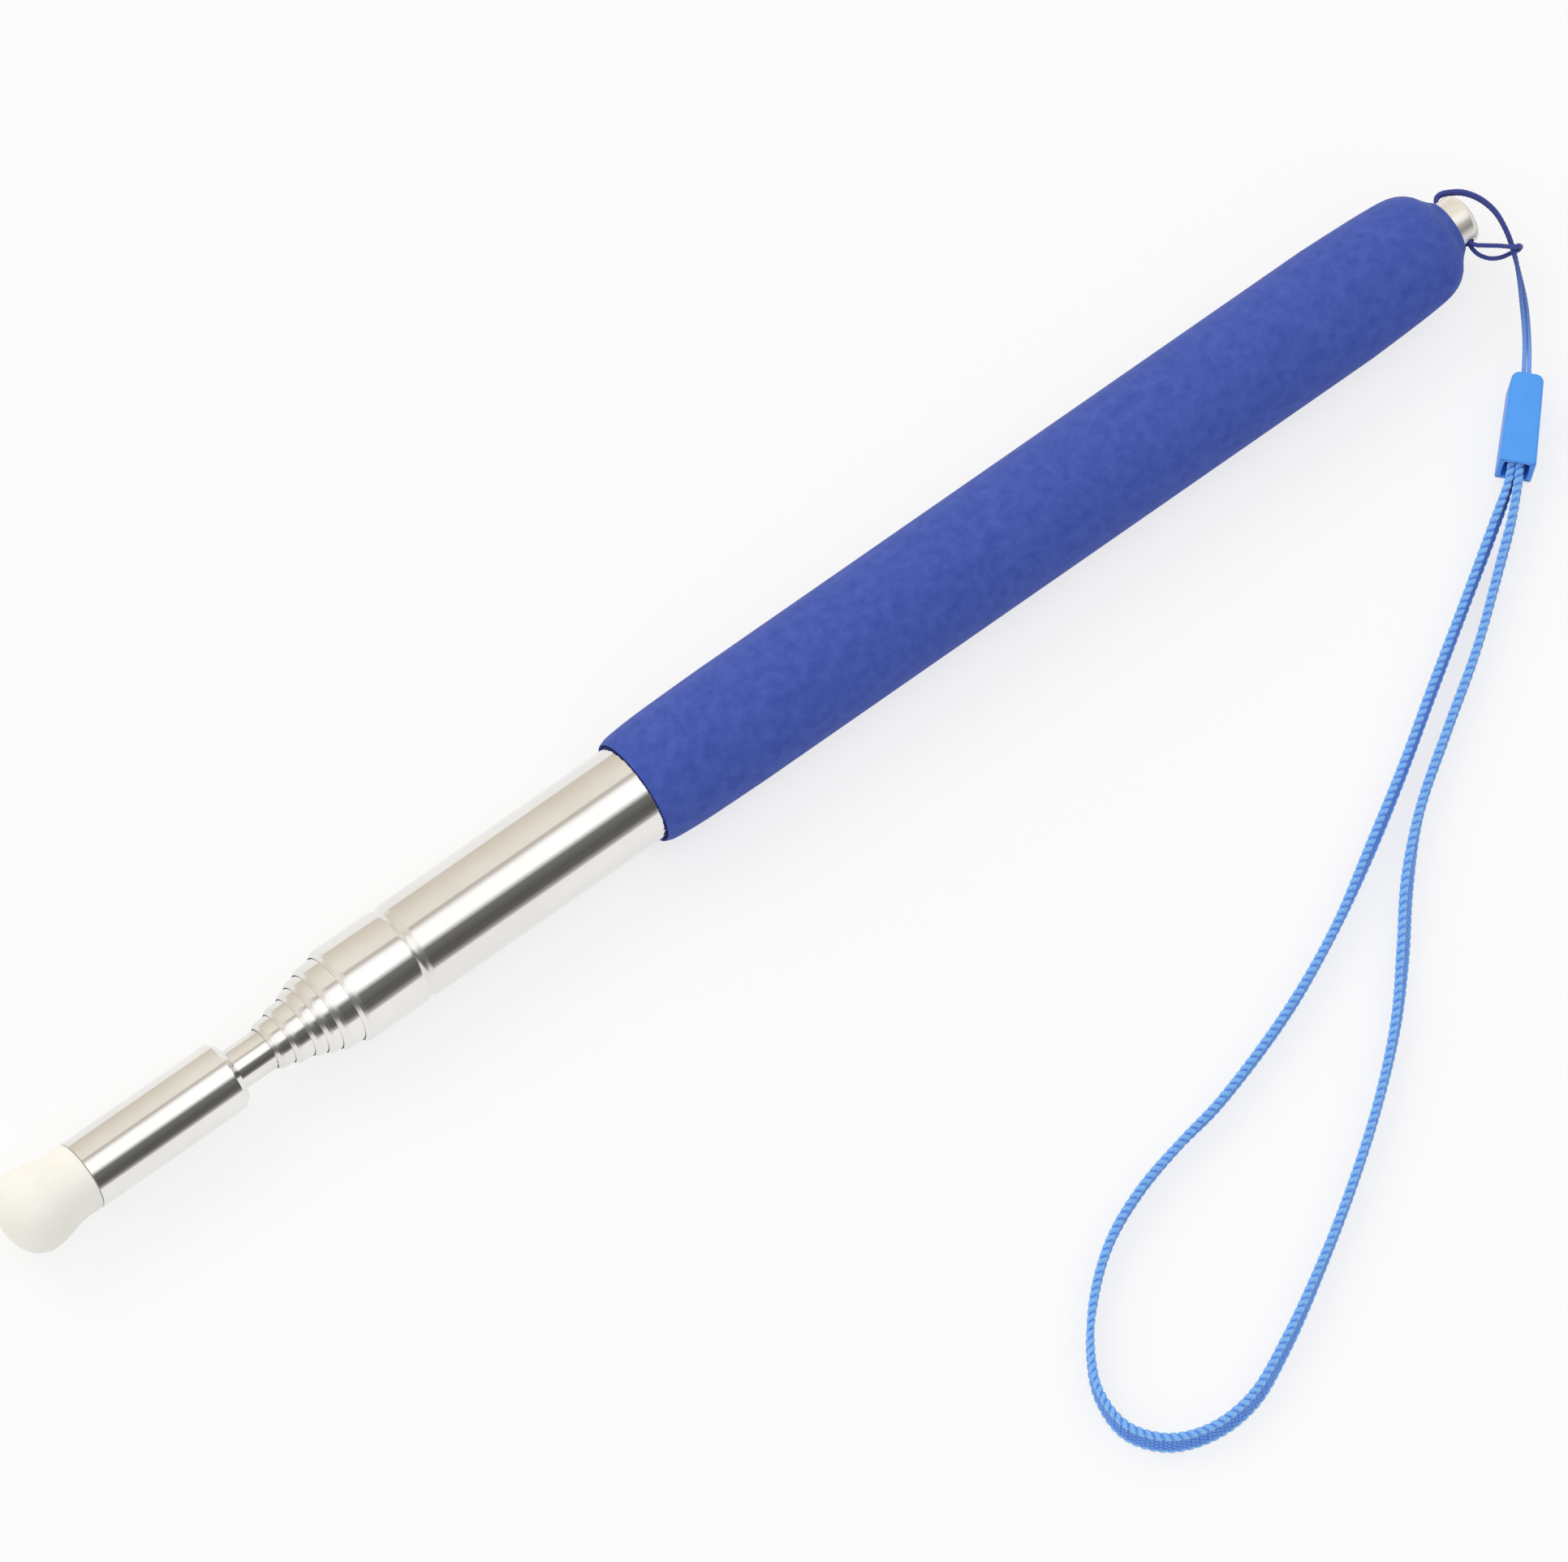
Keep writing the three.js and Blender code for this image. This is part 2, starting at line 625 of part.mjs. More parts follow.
function clipShellGeometry() {
  const endHalf = CLIP_END_WIDTH / 2;
  const mouthHalf = CLIP_MOUTH_WIDTH / 2;
  const plan = new THREE.Shape();
  plan.moveTo(CLIP_LENGTH, -mouthHalf);
  plan.lineTo(CLIP_LENGTH, mouthHalf);
  plan.lineTo(CLIP_CORNER, endHalf);
  plan.quadraticCurveTo(0, endHalf, 0, endHalf - CLIP_CORNER);
  plan.lineTo(0, -endHalf + CLIP_CORNER);
  plan.quadraticCurveTo(0, -endHalf, CLIP_CORNER, -endHalf);
  plan.closePath();
  const block = new THREE.ExtrudeGeometry(plan, {
    depth: CLIP_HEIGHT - 2 * CLIP_EDGE,
    curveSegments: 3,
    bevelSegments: 2,
    bevelThickness: CLIP_EDGE,
    bevelSize: CLIP_EDGE,
    bevelOffset: -CLIP_EDGE,
  });
  block.translate(0, 0, CLIP_EDGE - CLIP_HEIGHT / 2);
  const cavity = new THREE.BoxGeometry(CLIP_LENGTH, CLIP_CAVITY_WIDTH, CLIP_CAVITY_HEIGHT);
  cavity.translate(CLIP_END_WALL + CLIP_LENGTH / 2, 0, 0);
  const hole = new THREE.CylinderGeometry(CLIP_STRING_HOLE, CLIP_STRING_HOLE, 2 * CLIP_END_WALL + 1, 12);
  hole.rotateZ(Math.PI / 2);
  hole.translate(CLIP_END_WALL / 2, 0, 0);
  return toGeometry(toSolid(block).subtract(toSolid(cavity)).subtract(toSolid(hole)));
}

// A bent sheet that holds the strap's two ends between its cheeks, with the string's ends
// coming through the hole in its web.
function strapCrimpGeometry() {
  const inside = CRIMP_INSIDE / 2;
  const outside = inside + CRIMP_SHEET;
  const plan = new THREE.Shape();
  plan.moveTo(CRIMP_START, -outside);
  plan.lineTo(CRIMP_START + CRIMP_LENGTH, -outside);
  plan.lineTo(CRIMP_START + CRIMP_LENGTH, -inside);
  plan.lineTo(CRIMP_START + CRIMP_SHEET, -inside);
  plan.lineTo(CRIMP_START + CRIMP_SHEET, inside);
  plan.lineTo(CRIMP_START + CRIMP_LENGTH, inside);
  plan.lineTo(CRIMP_START + CRIMP_LENGTH, outside);
  plan.lineTo(CRIMP_START, outside);
  plan.closePath();
  const sheet = new THREE.ExtrudeGeometry(plan, { depth: CRIMP_HEIGHT, bevelEnabled: false });
  sheet.translate(0, 0, -CRIMP_HEIGHT / 2);
  const hole = new THREE.CylinderGeometry(CLIP_STRING_HOLE, CLIP_STRING_HOLE, 2, 10);
  hole.rotateZ(Math.PI / 2);
  hole.translate(CRIMP_START, 0, 0);
  return toGeometry(toSolid(sheet).subtract(toSolid(hole)));
}

// Assembly

function part(name, geometry, material) {
  const mesh = new THREE.Mesh(geometry, material);
  mesh.name = name;
  return mesh;
}

function pointer() {
  const group = new THREE.Group();
  group.position.z = AXIS_HEIGHT;
  group.rotation.z = -Math.PI / 2;
  group.add(part('grip_sleeve', gripGeometry(), gripRubber()));
  group.add(part('outer_tube', tubeGeometry(SECTIONS[0]), nickel()));
  group.add(part('tail_plug', tailPlugGeometry(), plugPlastic()));
  group.add(part('tail_stud', tailStudGeometry(), nickel()));
  for (let index = 1; index <= SLIDING_TUBES; index += 1) {
    const section = SECTIONS[index];
    const slotSide = index % 2 === 0 ? 1 : -1;
    const number = index + 1;
    group.add(part(`tube_${number}`, slidingTubeGeometry(section), nickel()));
    group.add(part(`friction_sleeve_${number}`, frictionSleeveGeometry(section, slotSide), brass()));
  }
  group.add(part('tip_ferrule', ferruleGeometry(), nickel()));
  group.add(part('ferrule_bush', ferruleBushGeometry(), plugPlastic()));
  group.add(part('pointer_tip', tipGeometry(), creamRubber()));
  return group;
}

function clip() {
  const group = new THREE.Group();
  const [startX, startY] = CLIP_ORIGIN;
  const [endX, endY] = CLIP_MOUTH_AIM;
  group.position.set(startX, startY, clipAxisHeight());
  group.rotation.z = Math.atan2(endY - startY, endX - startX);
  const shell = part('clip_shell', clipShellGeometry(), clipPlastic());
  shell.rotation.x = -CLIP_ROLL;
  group.add(shell);
  group.add(part('strap_crimp', strapCrimpGeometry(), steel()));
  return group;
}

function lanyard() {
  const group = new THREE.Group();
  group.position.x = STRING_HOLE_STATION;
  group.add(part('string_loop', stringGeometry(), stringCord()));
  group.add(part('wrist_strap', strapGeometry(), strapBraid()));
  group.add(clip());
  return group;
}

const assembly = new THREE.Group();
assembly.add(pointer());
assembly.add(lanyard());

export default assembly;
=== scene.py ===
# %% [markdown]
# # A telescopic pointer with a wrist lanyard
#
# The object is a teacher's pointer, pushed together and lying on its soft grip. Seven bright
# tubes slide in each other, a cream bulb sits on the front end, and a stud on the tail holds
# a thin string, a plastic clip and a flat braided strap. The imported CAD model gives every
# size and every joint. This lesson dresses it: the pieces that show are modelled again with
# finer rounds, and every piece gets a finish.

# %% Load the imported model
import math

import bmesh
import bpy
import numpy as np
from mathutils import Matrix, Vector


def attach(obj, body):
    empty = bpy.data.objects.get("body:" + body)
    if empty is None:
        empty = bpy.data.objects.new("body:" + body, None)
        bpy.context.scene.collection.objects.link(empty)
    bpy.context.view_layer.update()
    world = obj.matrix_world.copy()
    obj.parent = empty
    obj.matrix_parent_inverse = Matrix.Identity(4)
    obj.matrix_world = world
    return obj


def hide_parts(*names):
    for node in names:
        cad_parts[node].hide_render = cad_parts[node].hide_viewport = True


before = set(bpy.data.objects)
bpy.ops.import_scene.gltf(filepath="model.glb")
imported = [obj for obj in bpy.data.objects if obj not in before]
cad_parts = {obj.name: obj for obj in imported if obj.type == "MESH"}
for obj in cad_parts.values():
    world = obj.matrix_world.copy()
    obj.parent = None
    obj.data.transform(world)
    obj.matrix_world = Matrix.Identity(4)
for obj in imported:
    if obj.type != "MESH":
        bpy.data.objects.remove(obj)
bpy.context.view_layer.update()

MM = 0.001

# %% [markdown]
# ## The camera
#
# The pointer lies along X with its tip at -X. The picture was taken from above and from the
# tip's left, with so little perspective that parallel edges stay parallel. A real lens does
# that from far away, so the camera stands seven and a half metres off with a very long lens.
# Its three axes are written down as directions: to the right of the picture, up in it, and
# back to us.

# %% Camera
CAMERA_RIGHT = Vector((0.795, -0.606, 0.0)).normalized()
CAMERA_BACK = Vector((-0.250, -0.328, 0.911)).normalized()
CAMERA_DISTANCE = 7.5
CAMERA_NEAREST, CAMERA_FURTHEST = 0.01, 60.0
PICTURE_WIDTH = 193.2 * MM
PICTURE_MIDDLE = Vector((-0.74, -9.909, 7.918)) * MM
SENSOR_WIDTH = 36.0

camera_up = CAMERA_BACK.cross(CAMERA_RIGHT)
camera_data = bpy.data.cameras.new("camera")
camera_data.sensor_width = SENSOR_WIDTH
camera_data.lens = SENSOR_WIDTH * CAMERA_DISTANCE / PICTURE_WIDTH
camera_data.clip_start, camera_data.clip_end = CAMERA_NEAREST, CAMERA_FURTHEST
camera = bpy.data.objects.new("camera", camera_data)
bpy.context.scene.collection.objects.link(camera)
turn = Matrix((CAMERA_RIGHT, camera_up, CAMERA_BACK)).transposed()
camera_place = PICTURE_MIDDLE + CAMERA_BACK * CAMERA_DISTANCE
camera.matrix_world = Matrix.Translation(camera_place) @ turn.to_4x4()
bpy.context.scene.camera = camera
bpy.context.scene.view_settings.view_transform = "Standard"
print("camera at", [round(value, 3) for value in camera_place])
print("lens", round(camera_data.lens), "mm")

# %% [markdown]
# ## Routes for the two cords
#
# The string and the strap each follow one smooth curve through listed points, the
# same points that the CAD solids follow, apart from six of the string's between hitch and
# clip, which are up to 0.3 mm off. A Catmull-Rom curve passes through every point, and its
# centripetal form never loops or overshoots where points stand close together.

# %% A smooth route, sampled evenly
SPAN_SAMPLES = 24


def walked_along(points):
    """How far along their own line the points are, in millimetres from the first."""
    return np.concatenate([[0], np.cumsum(np.linalg.norm(np.diff(points, axis=0), axis=1))])


def smooth_route(points, step):
    """Samples a centripetal Catmull-Rom curve, evenly by length. Columns past the third, such
    as a lean, ride along."""
    knots = np.array(points, float)
    knots = np.vstack([2 * knots[0] - knots[1], knots, 2 * knots[-1] - knots[-2]])
    rough = []
    for a, b, c, d in zip(knots, knots[1:], knots[2:], knots[3:]):
        before, here, after = (
            np.linalg.norm((q - p)[:3]) ** 0.5 for p, q in ((a, b), (b, c), (c, d))
        )
        leave = ((b - a) / before - (c - a) / (before + here) + (c - b) / here) * here
        arrive = ((c - b) / here - (d - b) / (here + after) + (d - c) / after) * here
        for u in np.linspace(0, 1, SPAN_SAMPLES, endpoint=False):
            rough.append(
                (2 * u**3 - 3 * u**2 + 1) * b + (u**3 - 2 * u**2 + u) * leave
                + (3 * u**2 - 2 * u**3) * c + (u**3 - u**2) * arrive
            )
    rough = np.array(rough + [knots[-2]])
    walked = walked_along(rough[:, :3])
    even = np.linspace(0, walked[-1], max(2, round(walked[-1] / step)) + 1)
    return even, np.stack([np.interp(even, walked, column) for column in rough.T], axis=1)


STUD_HOLE = 111.0
AXIS_HEIGHT = 8.0
CLIP_HEIGHT, CLIP_MOUTH_WIDTH, CLIP_ROLL = 5.8, 4.6, math.radians(7)
CLIP_FLOOR_GAP = 0.02
CLIP_AXIS_HEIGHT = (
    CLIP_HEIGHT / 2 * math.cos(CLIP_ROLL) + CLIP_MOUTH_WIDTH / 2 * math.sin(CLIP_ROLL)
    + CLIP_FLOOR_GAP
)
print("clip axis", round(CLIP_AXIS_HEIGHT, 3), "mm above the floor")

# %% [markdown]
# ## A swept skin
#
# Both cords, and each yarn of the braid, are skins swept along a line: a small outline is
# carried from sample to sample and joined to the one before. Written once, it makes a closed
# mesh with capped ends. The directions of the outline are given at every sample, because the
# string must not twist by itself and the yarns must lie flat on their tape.

# %% Sweep an outline along a line
CORD_CRISP = 50


def unit(vectors):
    """The same directions with length one."""
    return vectors / np.linalg.norm(vectors, axis=1, keepdims=True)


def swept(centres, first_axis, second_axis, outline):
    """Vertices and faces of a closed skin. The outline is (sides, 2), or (samples, sides, 2)."""
    outline = np.broadcast_to(outline, (len(centres),) + np.shape(outline)[-2:])
    ring = (
        centres[:, None, :]
        + outline[:, :, :1] * first_axis[:, None, :]
        + outline[:, :, 1:] * second_axis[:, None, :]
    )
    samples, sides = ring.shape[:2]
    index = np.arange(samples * sides).reshape(samples, sides)
    beside = np.roll(index, -1, axis=1)
    faces = np.stack([index[:-1], beside[:-1], beside[1:], index[1:]], axis=-1)
    faces = faces.reshape(-1, 4).tolist()
    faces.append(index[0, ::-1].tolist())
    faces.append(index[-1].tolist())
    return ring.reshape(-1, 3), faces


def start_fresh():
    """Object mode with nothing selected, so that an operator acts only on what comes next."""
    if bpy.context.object and bpy.context.object.mode != "OBJECT":
        bpy.ops.object.mode_set(mode="OBJECT")
    bpy.ops.object.select_all(action="DESELECT")


def mesh_piece(name, vertices, faces):
    """An object from millimetres, with its faces turned outwards and its rounds smooth."""
    mesh = bpy.data.meshes.new(name)
    mesh.from_pydata((np.asarray(vertices) * MM).tolist(), [], faces)
    piece = bpy.data.objects.new(name, mesh)
    bpy.context.scene.collection.objects.link(piece)
    start_fresh()
    piece.select_set(True)
    bpy.context.view_layer.objects.active = piece
    bpy.ops.object.mode_set(mode="EDIT")
    bpy.ops.mesh.select_all(action="SELECT")
    bpy.ops.mesh.normals_make_consistent(inside=False)
    bpy.ops.object.mode_set(mode="OBJECT")
    bpy.ops.object.shade_smooth_by_angle(angle=math.radians(CORD_CRISP))
    return piece


# %% [markdown]
# ## The string
#
# One dark blue string, 0.6 mm thick and 97 mm long, is hitched through the cross hole of the
# tail stud, and its two ends are held in the clip. Three plies are laid round each other, so
# its outline has three lobes that turn as it goes. A point of its route holds X from the
# stud's hole, Y, and its height: 0 at the clip's axis and 1 at the pointer's.

# %% String
STRING_ROUTE = [
    (-6.35, -22.05, 0), (-4.8, -20.45, 0), (-3.65, -19.2, 0.041), (-1.2, -16.11, 0.14),
    (1.27, -12.31, 0.268), (3.05, -9.36, 0.408), (4.5, -6.35, 0.571), (5.2, -3.9, 0.726),
    (5.4, -1.4, 0.88), (4.8, 0.8, 1), (3.6, 2.6, 1.066), (2.2, 3.65, 1.066),
    (1.1, 4.1, 1.066), (0.3, 3.9, 1.066), (0, 3.1, 1.066), (0, 0, 1.066),
    (0, -3.1, 1.066), (0.35, -4, 1.062), (1.4, -4.6, 0.948), (3, -5.5, 0.814),
    (4.4, -6.5, 0.728), (5.15, -6.7, 0.67), (5.45, -6.7, 0.505), (5.15, -6.55, 0.34),
    (4.4, -6.25, 0.278), (2.8, -6.1, 0.371), (1.4, -5.7, 0.546), (0.4, -4.9, 0.732),
    (0, -4.1, 0.876), (0, -3.1, 0.934), (0, 0, 0.934), (0, 3.1, 0.934),
    (0.3, 3.9, 0.934), (1.1, 4.1, 0.934), (2.2, 3.65, 0.934), (3.6, 2.6, 0.934),
    (4.8, 0.8, 0.868), (5.4, -1.4, 0.748), (5.2, -3.9, 0.594), (4.5, -6.25, 0.439),
    (3.2, -9.46, 0.278), (1.67, -12.66, 0.175), (-0.7, -16.36, 0.078), (-3.2, -19.65, 0.021),
    (-4.3, -20.9, 0), (-5.85, -22.5, 0),
]
STRING_RADIUS, STRING_STEP, STRING_SIDES = 0.3, 0.2, 12
PLIES, PLY_PITCH, PLY_FURROW = 3, 1.7, 0.15


def carried_axes(line):
    """Two directions square to the line, carried along it without any twist."""
    along = unit(np.gradient(line, axis=0))
    first = np.cross(along[0], (0, 0, 1))
    carried = []
    for tangent in along:
        first = first - tangent * np.dot(first, tangent)
        first = first / np.linalg.norm(first)
        carried.append(first)
    return np.array(carried), np.cross(along, carried)


string_points = [
    (STUD_HOLE + x, y, CLIP_AXIS_HEIGHT + (AXIS_HEIGHT - CLIP_AXIS_HEIGHT) * climb)
    for x, y, climb in STRING_ROUTE
]
string_walk, string_line = smooth_route(string_points, STRING_STEP)
string_first, string_second = carried_axes(string_line)
angles = np.linspace(0, 2 * math.pi, STRING_SIDES, endpoint=False)
turned_by = 2 * math.pi * string_walk[:, None] / PLY_PITCH
lobes = np.abs(np.cos(PLIES / 2 * (angles[None, :] - turned_by)))
lobes = STRING_RADIUS * (1 - PLY_FURROW + PLY_FURROW * lobes)
string_outline = np.stack([lobes * np.cos(angles), lobes * np.sin(angles)], axis=-1)
string = mesh_piece("string", *swept(string_line, string_first, string_second, string_outline))
print("string", round(string_walk[-1], 1), "mm long,", len(string.data.polygons), "faces")

# %% [markdown]
# ## The wrist strap
#
# The strap is a flat braid, 4 mm wide and 0.9 mm thick, that stands on its edge round its
# loop. A flat braid has an odd number of yarns. Each one runs slantwise from edge to edge and
# back, over and under the ones it meets, and turns round in a small loop at each edge. Those
# edge loops, with dark gaps between them, are what the eye sees first, so the braid is made
# of real yarns round a thin core rather than painted on a ribbon. The gaps are darkened further
# with painted shade, from how proud each point of a yarn stands. A point of its route holds
# X from the stud's hole, Y, and how many degrees the tape leans. The tubes don't mirror the
# strap, or it would draw a second line along them.

# %% The strap's route
STRAP_ROUTE = [
    (-7.53, -23.1, 0), (-13.4, -29.25, 0), (-15.2, -30.85, 0), (-19.4, -33.7, 2),
    (-29.1, -40, 1), (-38.8, -46.4, 2), (-48.5, -52.9, 2), (-58.4, -59.1, 3),
    (-68.7, -65.1, -5), (-79.9, -70.3, -5), (-93.9, -74.9, -8), (-101, -76.3, -11),
    (-108.6, -78.3, -7), (-115.8, -81.5, -4), (-122.1, -86.4, 0), (-126.6, -91.6, -2),
    (-129.5, -97.2, -2), (-129.7, -102.9, -5), (-126.6, -107.3, -5), (-121.4, -109.4, -4),
    (-115, -109.1, -7), (-107.1, -105.6, -6), (-96.3, -99.3, 0), (-86.6, -92.9, 1),
    (-77.9, -86.4, 0), (-70, -79.5, -5), (-63.6, -72.6, -12), (-57.3, -65.3, -11),
    (-50.1, -58.5, 0), (-40.7, -51.9, 2), (-31, -45.3, 3), (-22.1, -38.3, 0),
    (-17.7, -34.8, 0), (-14.2, -31.55, 0), (-12.65, -29.95, 0), (-6.8, -23.8, 0),
]
STRAP_WIDTH, STRAP_FLOOR_GAP, STRAP_STEP = 4.0, 0.1, 0.26
CLIP_LENGTH, STRAP_RAMP = 12.2, 14.0


def strap_height(from_end):
    """The middle of the braid: level with the clip's axis in the clip, then down on its edge."""
    low = STRAP_WIDTH / 2 + STRAP_FLOOR_GAP
    share = min(max((from_end - CLIP_LENGTH) / STRAP_RAMP, 0), 1)
    return low + (CLIP_AXIS_HEIGHT - low) * (1 + math.cos(math.pi * share)) / 2


plan = np.array([(x, y) for x, y, lean in STRAP_ROUTE])
along_plan = walked_along(plan)
strap_points = [
    (STUD_HOLE + x, y, strap_height(min(walked, along_plan[-1] - walked)), lean)
    for (x, y, lean), walked in zip(STRAP_ROUTE, along_plan)
]
strap_walk, strap_samples = smooth_route(strap_points, STRAP_STEP)
strap_line, strap_lean = strap_samples[:, :3], np.radians(strap_samples[:, 3])
print("strap", round(strap_walk[-1], 1), "mm long,", len(strap_line), "samples")

# %% Yarns of the braid
YARNS, YARN_SIDES = 9, 6
EDGE_LOOP_PITCH = 1.1
YARN_REACH, YARN_RISE = 1.6, 0.2
YARN_HALF_WIDTH, YARN_HALF_THICK = 0.37, 0.25
EDGE_FULLNESS, EDGE_FULLNESS_POWER = 0.23, 6
TURN_SHARPNESS = 0.97
EDGE_STARTS, EDGE_FADE = 0.7, 0.28
CORE_HALF_WIDTH, CORE_HALF_THICK, CORE_EVERY = 1.45, 0.12, 4

strap_along = unit(np.gradient(strap_line, axis=0))
level = unit(np.cross(strap_along, (0, 0, 1)))
upright = np.cross(level, strap_along)
lean_cos, lean_sin = np.cos(strap_lean)[:, None], np.sin(strap_lean)[:, None]
tape_up = upright * lean_cos + level * lean_sin
tape_face = level * lean_cos - upright * lean_sin


def over_and_under(steps):
    """Up at the first crossing after an edge, down at the next, and level at the edges."""
    place = np.mod(steps, YARNS)
    middle = -np.cos(math.pi * place)
    from_edge = np.sin(math.pi / 2 * np.minimum(place, YARNS - place))
    sign = np.where(place < YARNS / 2, 1.0, -1.0)
    near = (place < 1) | (place > YARNS - 1)
    return np.where(near, sign * from_edge, middle)


def side_to_side(steps):
    """From one edge to the other and back, rounded where the yarn turns."""
    wave = np.sin(math.pi * (steps / YARNS - 0.5))
    return np.arcsin(TURN_SHARPNESS * wave) / math.asin(TURN_SHARPNESS)


# The rise values gathered here drive painted shade in the braid's finish: darker down in the gaps
# between yarns.
strap_vertices, strap_faces, strap_rise_for_painted_shade = [], [], []


def add_to_strap(vertices, faces, rise):
    """Lays one more closed skin into the strap's mesh."""
    offset = sum(len(block) for block in strap_vertices)
    strap_vertices.append(vertices)
    strap_faces.extend([corner + offset for corner in face] for face in faces)
    strap_rise_for_painted_shade.append(rise)


yarn_turn = np.linspace(0, 2 * math.pi, YARN_SIDES, endpoint=False)
for yarn in range(YARNS):
    steps = strap_walk / (EDGE_LOOP_PITCH / 2) + 2 * yarn
    across = side_to_side(steps)[:, None]
    half_thick = YARN_HALF_THICK + EDGE_FULLNESS * np.abs(across) ** EDGE_FULLNESS_POWER
    over = YARN_RISE * over_and_under(steps)[:, None]
    centres = strap_line + tape_up * (YARN_REACH * across) + tape_face * over
    heading = unit(np.gradient(centres, axis=0))
    wide = unit(np.cross(heading, tape_face))
    thin = np.cross(wide, heading)
    yarn_outline = np.stack([
        np.broadcast_to(YARN_HALF_WIDTH * np.cos(yarn_turn), (len(steps), len(yarn_turn))),
        half_thick * np.sin(yarn_turn),
    ], axis=-1)
    vertices, faces = swept(centres, wide, thin, yarn_outline)
    from_line = vertices.reshape(len(steps), -1, 3) - strap_line[:, None, :]
    proud = np.abs(np.einsum("ijk,ik->ij", from_line, tape_face)) / (YARN_RISE + YARN_HALF_THICK)
    outward = np.abs(np.einsum("ijk,ik->ij", from_line, tape_up)) / (YARN_REACH + YARN_HALF_WIDTH)
    at_edge = np.clip((outward - EDGE_STARTS) / EDGE_FADE, 0, 1)
    add_to_strap(vertices, faces, np.maximum(proud, at_edge).reshape(-1))

core_outline = np.array([
    (CORE_HALF_WIDTH, CORE_HALF_THICK), (-CORE_HALF_WIDTH, CORE_HALF_THICK),
    (-CORE_HALF_WIDTH, -CORE_HALF_THICK), (CORE_HALF_WIDTH, -CORE_HALF_THICK),
])
core_vertices, core_faces = swept(
    *(samples[::CORE_EVERY] for samples in (strap_line, tape_up, tape_face)), core_outline
)
add_to_strap(core_vertices, core_faces, np.zeros(len(core_vertices)))
strap = mesh_piece("braided_strap", np.vstack(strap_vertices), strap_faces)
# The rise is stored on the mesh for the painted shade of the braid's gaps.
painted_shade_layer = strap.data.attributes.new("rise", "FLOAT", "POINT")
painted_shade_layer.data.foreach_set("value", np.concatenate(strap_rise_for_painted_shade).astype(np.float32))
strap.visible_glossy = False
print(YARNS, "yarns,", sum(len(face) - 2 for face in strap_faces), "triangles")

# %% [markdown]
# ## Turned pieces
#
# Tubes, grip, ferrule, tip and stud are all round about one axis. By hand such a piece is an
# outline drawn point by point with Extrude and then turned with Spin. A plane is folded into
# its first point, each extrude adds the next one, and the ring is closed by merging doubles.
# Smooth shading by angle keeps the corners crisp and lets the rounds flow.

# %% Turn an outline round the pointer's axis
MERGE_DISTANCE, OUTLINE_STEP = 0.0005, 1


def turned(name, outline, steps=96, crisp=30):
    """The outline holds (station, radius) pairs in millimetres, from the front outwards. An
    edge that turns by more than the crisp angle, in degrees, is shaded as a corner."""
    start_fresh()
    points = [Vector((station, 0, AXIS_HEIGHT + radius)) * MM for station, radius in outline]
    bpy.ops.mesh.primitive_plane_add(size=MM, location=(0, 0, 0))
    piece = bpy.context.object
    piece.name = piece.data.name = name
    bpy.ops.object.mode_set(mode="EDIT")
    bpy.ops.mesh.select_mode(type="VERT")
    bpy.ops.mesh.select_all(action="SELECT")
    bpy.ops.mesh.merge(type="CENTER")
    bpy.ops.transform.translate(value=points[0])
    for start, end in zip(points, points[1:]):
        bpy.ops.mesh.extrude_region_move(TRANSFORM_OT_translate={"value": end - start})
    bpy.ops.mesh.select_all(action="SELECT")
    bpy.ops.mesh.spin(
        steps=steps, angle=2 * math.pi, center=(0, 0, AXIS_HEIGHT * MM), axis=(1, 0, 0)
    )
    bpy.ops.mesh.select_all(action="SELECT")
    bpy.ops.mesh.remove_doubles(threshold=MERGE_DISTANCE * MM)
    bpy.ops.mesh.normals_make_consistent(inside=False)
    bpy.ops.object.mode_set(mode="OBJECT")
    bpy.ops.object.shade_smooth_by_angle(angle=math.radians(crisp))
    print(name, len(piece.data.polygons), "faces")
    return piece


def rounded(points, pieces):
    """Puts a curve through a few outline points, for swells and shoulders. It is sampled about
    every millimetre, so a round shorter than that comes out as straight bevels."""
    walk, line = smooth_route([(x, r, 0) for x, r in points], OUTLINE_STEP)
    knots = np.linspace(0, walk[-1], pieces * (len(points) - 1) + 1)
    stations, radii = (np.interp(knots, walk, column).tolist() for column in line.T[:2])
    return list(zip(stations, radii))


# %% [markdown]
# ## The seven tubes
#
# The mouth of each tube that holds another is rolled inwards: the wall comes down in two
# slopes, turns under and leaves a hair's gap to the tube inside it. The outer tube also has a
# rolled groove, 10 mm behind its mouth, which dips in sixteen steps. The rolling tool dulls
# the metal, so mouths and groove carry a value called *rolled*, which the nickel reads.

# %% Tubes
TUBE_NAMES = ["outer_tube"] + [f"tube_{number}" for number in range(2, 8)]
MOUTHS = [-62.35, -65.25, -67.05, -68.65, -71.15, -73.35, -96.0]
OUTER_TUBE_RADIUS, TUBE_STEP, TUBE_WALL = 6.6, 0.64, 0.25
OUTER_TUBE_REAR, SLIDING_TUBE_REAR = 96.0, 72.5
LIP_PROFILE = [
    (0, 0), (0.04, 0.26), (0.16, 0.46), (0.42, 0.68), (0.7, 0.88), (0.95, 0.98), (1.15, 1.0),
]
LIP_DEPTH, LIP_FLAT_SHARE, LIP_CLEARANCE = 1.2, 0.75, 0.1
LIP_EDGE, LIP_FRONT = 0.04, 0.06
GROOVE_STATION, GROOVE_WIDTH, GROOVE_DEPTH, GROOVE_STEPS = -52.1, 1.9, 0.36, 16
BOSS_HOLE_STATION, BOSS_HOLE_RADIUS, DRILL_SIDES = 68.0, 0.62, 32
ROLL_STARTS, ROLL_FULL = 0.004, 0.05


def tube_radius(number):
    """The outside of a tube, counted from the outer one as 0."""
    return OUTER_TUBE_RADIUS - number * TUBE_STEP


